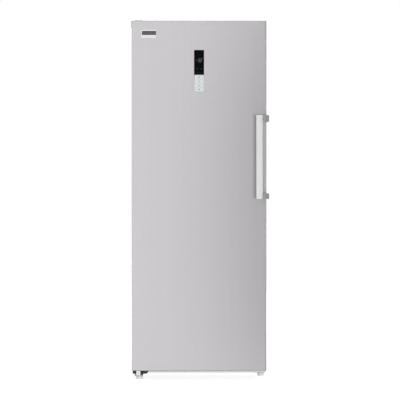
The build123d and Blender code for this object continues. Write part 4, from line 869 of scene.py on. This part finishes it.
symbol = 0.0034
stroke = 0.0011
minus_half = symbol * 1.6
minus_stroke = stroke * 1.2
flake_stroke = stroke * 0.7
key_ink = ink("key_ink", (0.10, 0.11, 0.12))
for n in range(1, 5):
    key_low, key_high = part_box(f"key_{n}")
    x = (key_low.x + key_high.x) / 2
    z = (key_low.z + key_high.z) / 2
    face = key_low.y
    key_print = bmesh.new()
    if n == 1:
        power_print(key_print, face, x, z, symbol, stroke, bar_low=symbol * 0.2, bar_high=symbol * 1.25)
    elif n == 2:
        stroke_print(key_print, face, (x - symbol, z), (x + symbol, z), stroke)
        stroke_print(key_print, face, (x, z - symbol), (x, z + symbol), stroke)
    elif n == 3:
        stroke_print(key_print, face, (x - minus_half, z), (x + minus_half, z), minus_stroke)
    else:
        flake_print(key_print, face, x, z, symbol, flake_stroke)
    new_piece(f"key_symbol_{n}", key_print, key_ink, f"key_{n}", smooth=0)

# ------------------------------------------------------------------ badge
# A pressed silver backing with a smaller dark plate glued on it. Both have rounded corners and a fine
# satin finish.
badge_silver = brushed(
    "badge_silver", (0.83, 0.82, 0.83), 0.24, metallic=0.80, across_mm=0.6, along_mm=40.0, edge_mm=0.4
)
dress(badge_silver, "badge")


def rounded_plate(shape, low, high, radius, bevel):
    """A flat plate that looks along -Y, with round corners and a small bevel round its front face."""
    arc_steps = 8
    left, right = low[0] + radius, high[0] - radius
    foot, head = low[2] + radius, high[2] - radius
    centres = ((right, head), (left, head), (left, foot), (right, foot))
    rings = []
    for y, inset in ((high[1], 0.0), (low[1] + bevel, 0.0), (low[1], bevel)):
        r = radius - inset
        ring = []
        for quarter, (x, z) in enumerate(centres):
            for k in range(arc_steps + 1):
                a = math.radians(90 * quarter + k * 90 / arc_steps)
                ring.append(shape.verts.new((x + r * math.cos(a), y, z + r * math.sin(a))))
        rings.append(ring)
    join_rings(shape, rings)
    shape.faces.new(rings[0])
    shape.faces.new(rings[-1])


badge_low, badge_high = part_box("badge")
plate_left = badge_low.x + 0.0029
plate_right = badge_high.x - 0.0005
plate_top = badge_high.z - 0.0055
plate_height = 0.0185
plate_thick = 0.0009
plate_round = 0.003
plate_bevel = 0.0003
plate = bmesh.new()
rounded_plate(
    plate, (plate_left, badge_low.y - plate_thick, plate_top - plate_height),
    (plate_right, badge_low.y, plate_top), plate_round, plate_bevel,
)
plate_dark = finish(
    "badge_dark", (0.10, 0.10, 0.11), 0.28, metallic=0.4, grain_mm=0.5, edge_mm=0.3, edge_light=0.25
)
new_piece("badge_plate", plate, plate_dark, "door")

# ------------------------------------------------------------------ handle
# A drawn aluminium bar with a satin brushed face, between two cast brackets in darker grey that are
# bent round the door's side and screwed there.
bar_aluminium = brushed(
    "bar_aluminium", (0.71, 0.71, 0.72), 0.34, metallic=0.25, across_mm=0.7, along_mm=120.0, contrast=0.03,
    edge_mm=0.8,
)
dress(bar_aluminium, "handle_bar")
cast_grey = finish(
    "cast_grey", (0.34, 0.34, 0.345), 0.36, metallic=0.5, grain_mm=0.5, bump_mm=0.015, edge_mm=1.0,
    edge_light=0.10,
)
dress(cast_grey, "handle_brackets")
dress(screw_steel, "handle_screws")

bpy.context.view_layer.update()
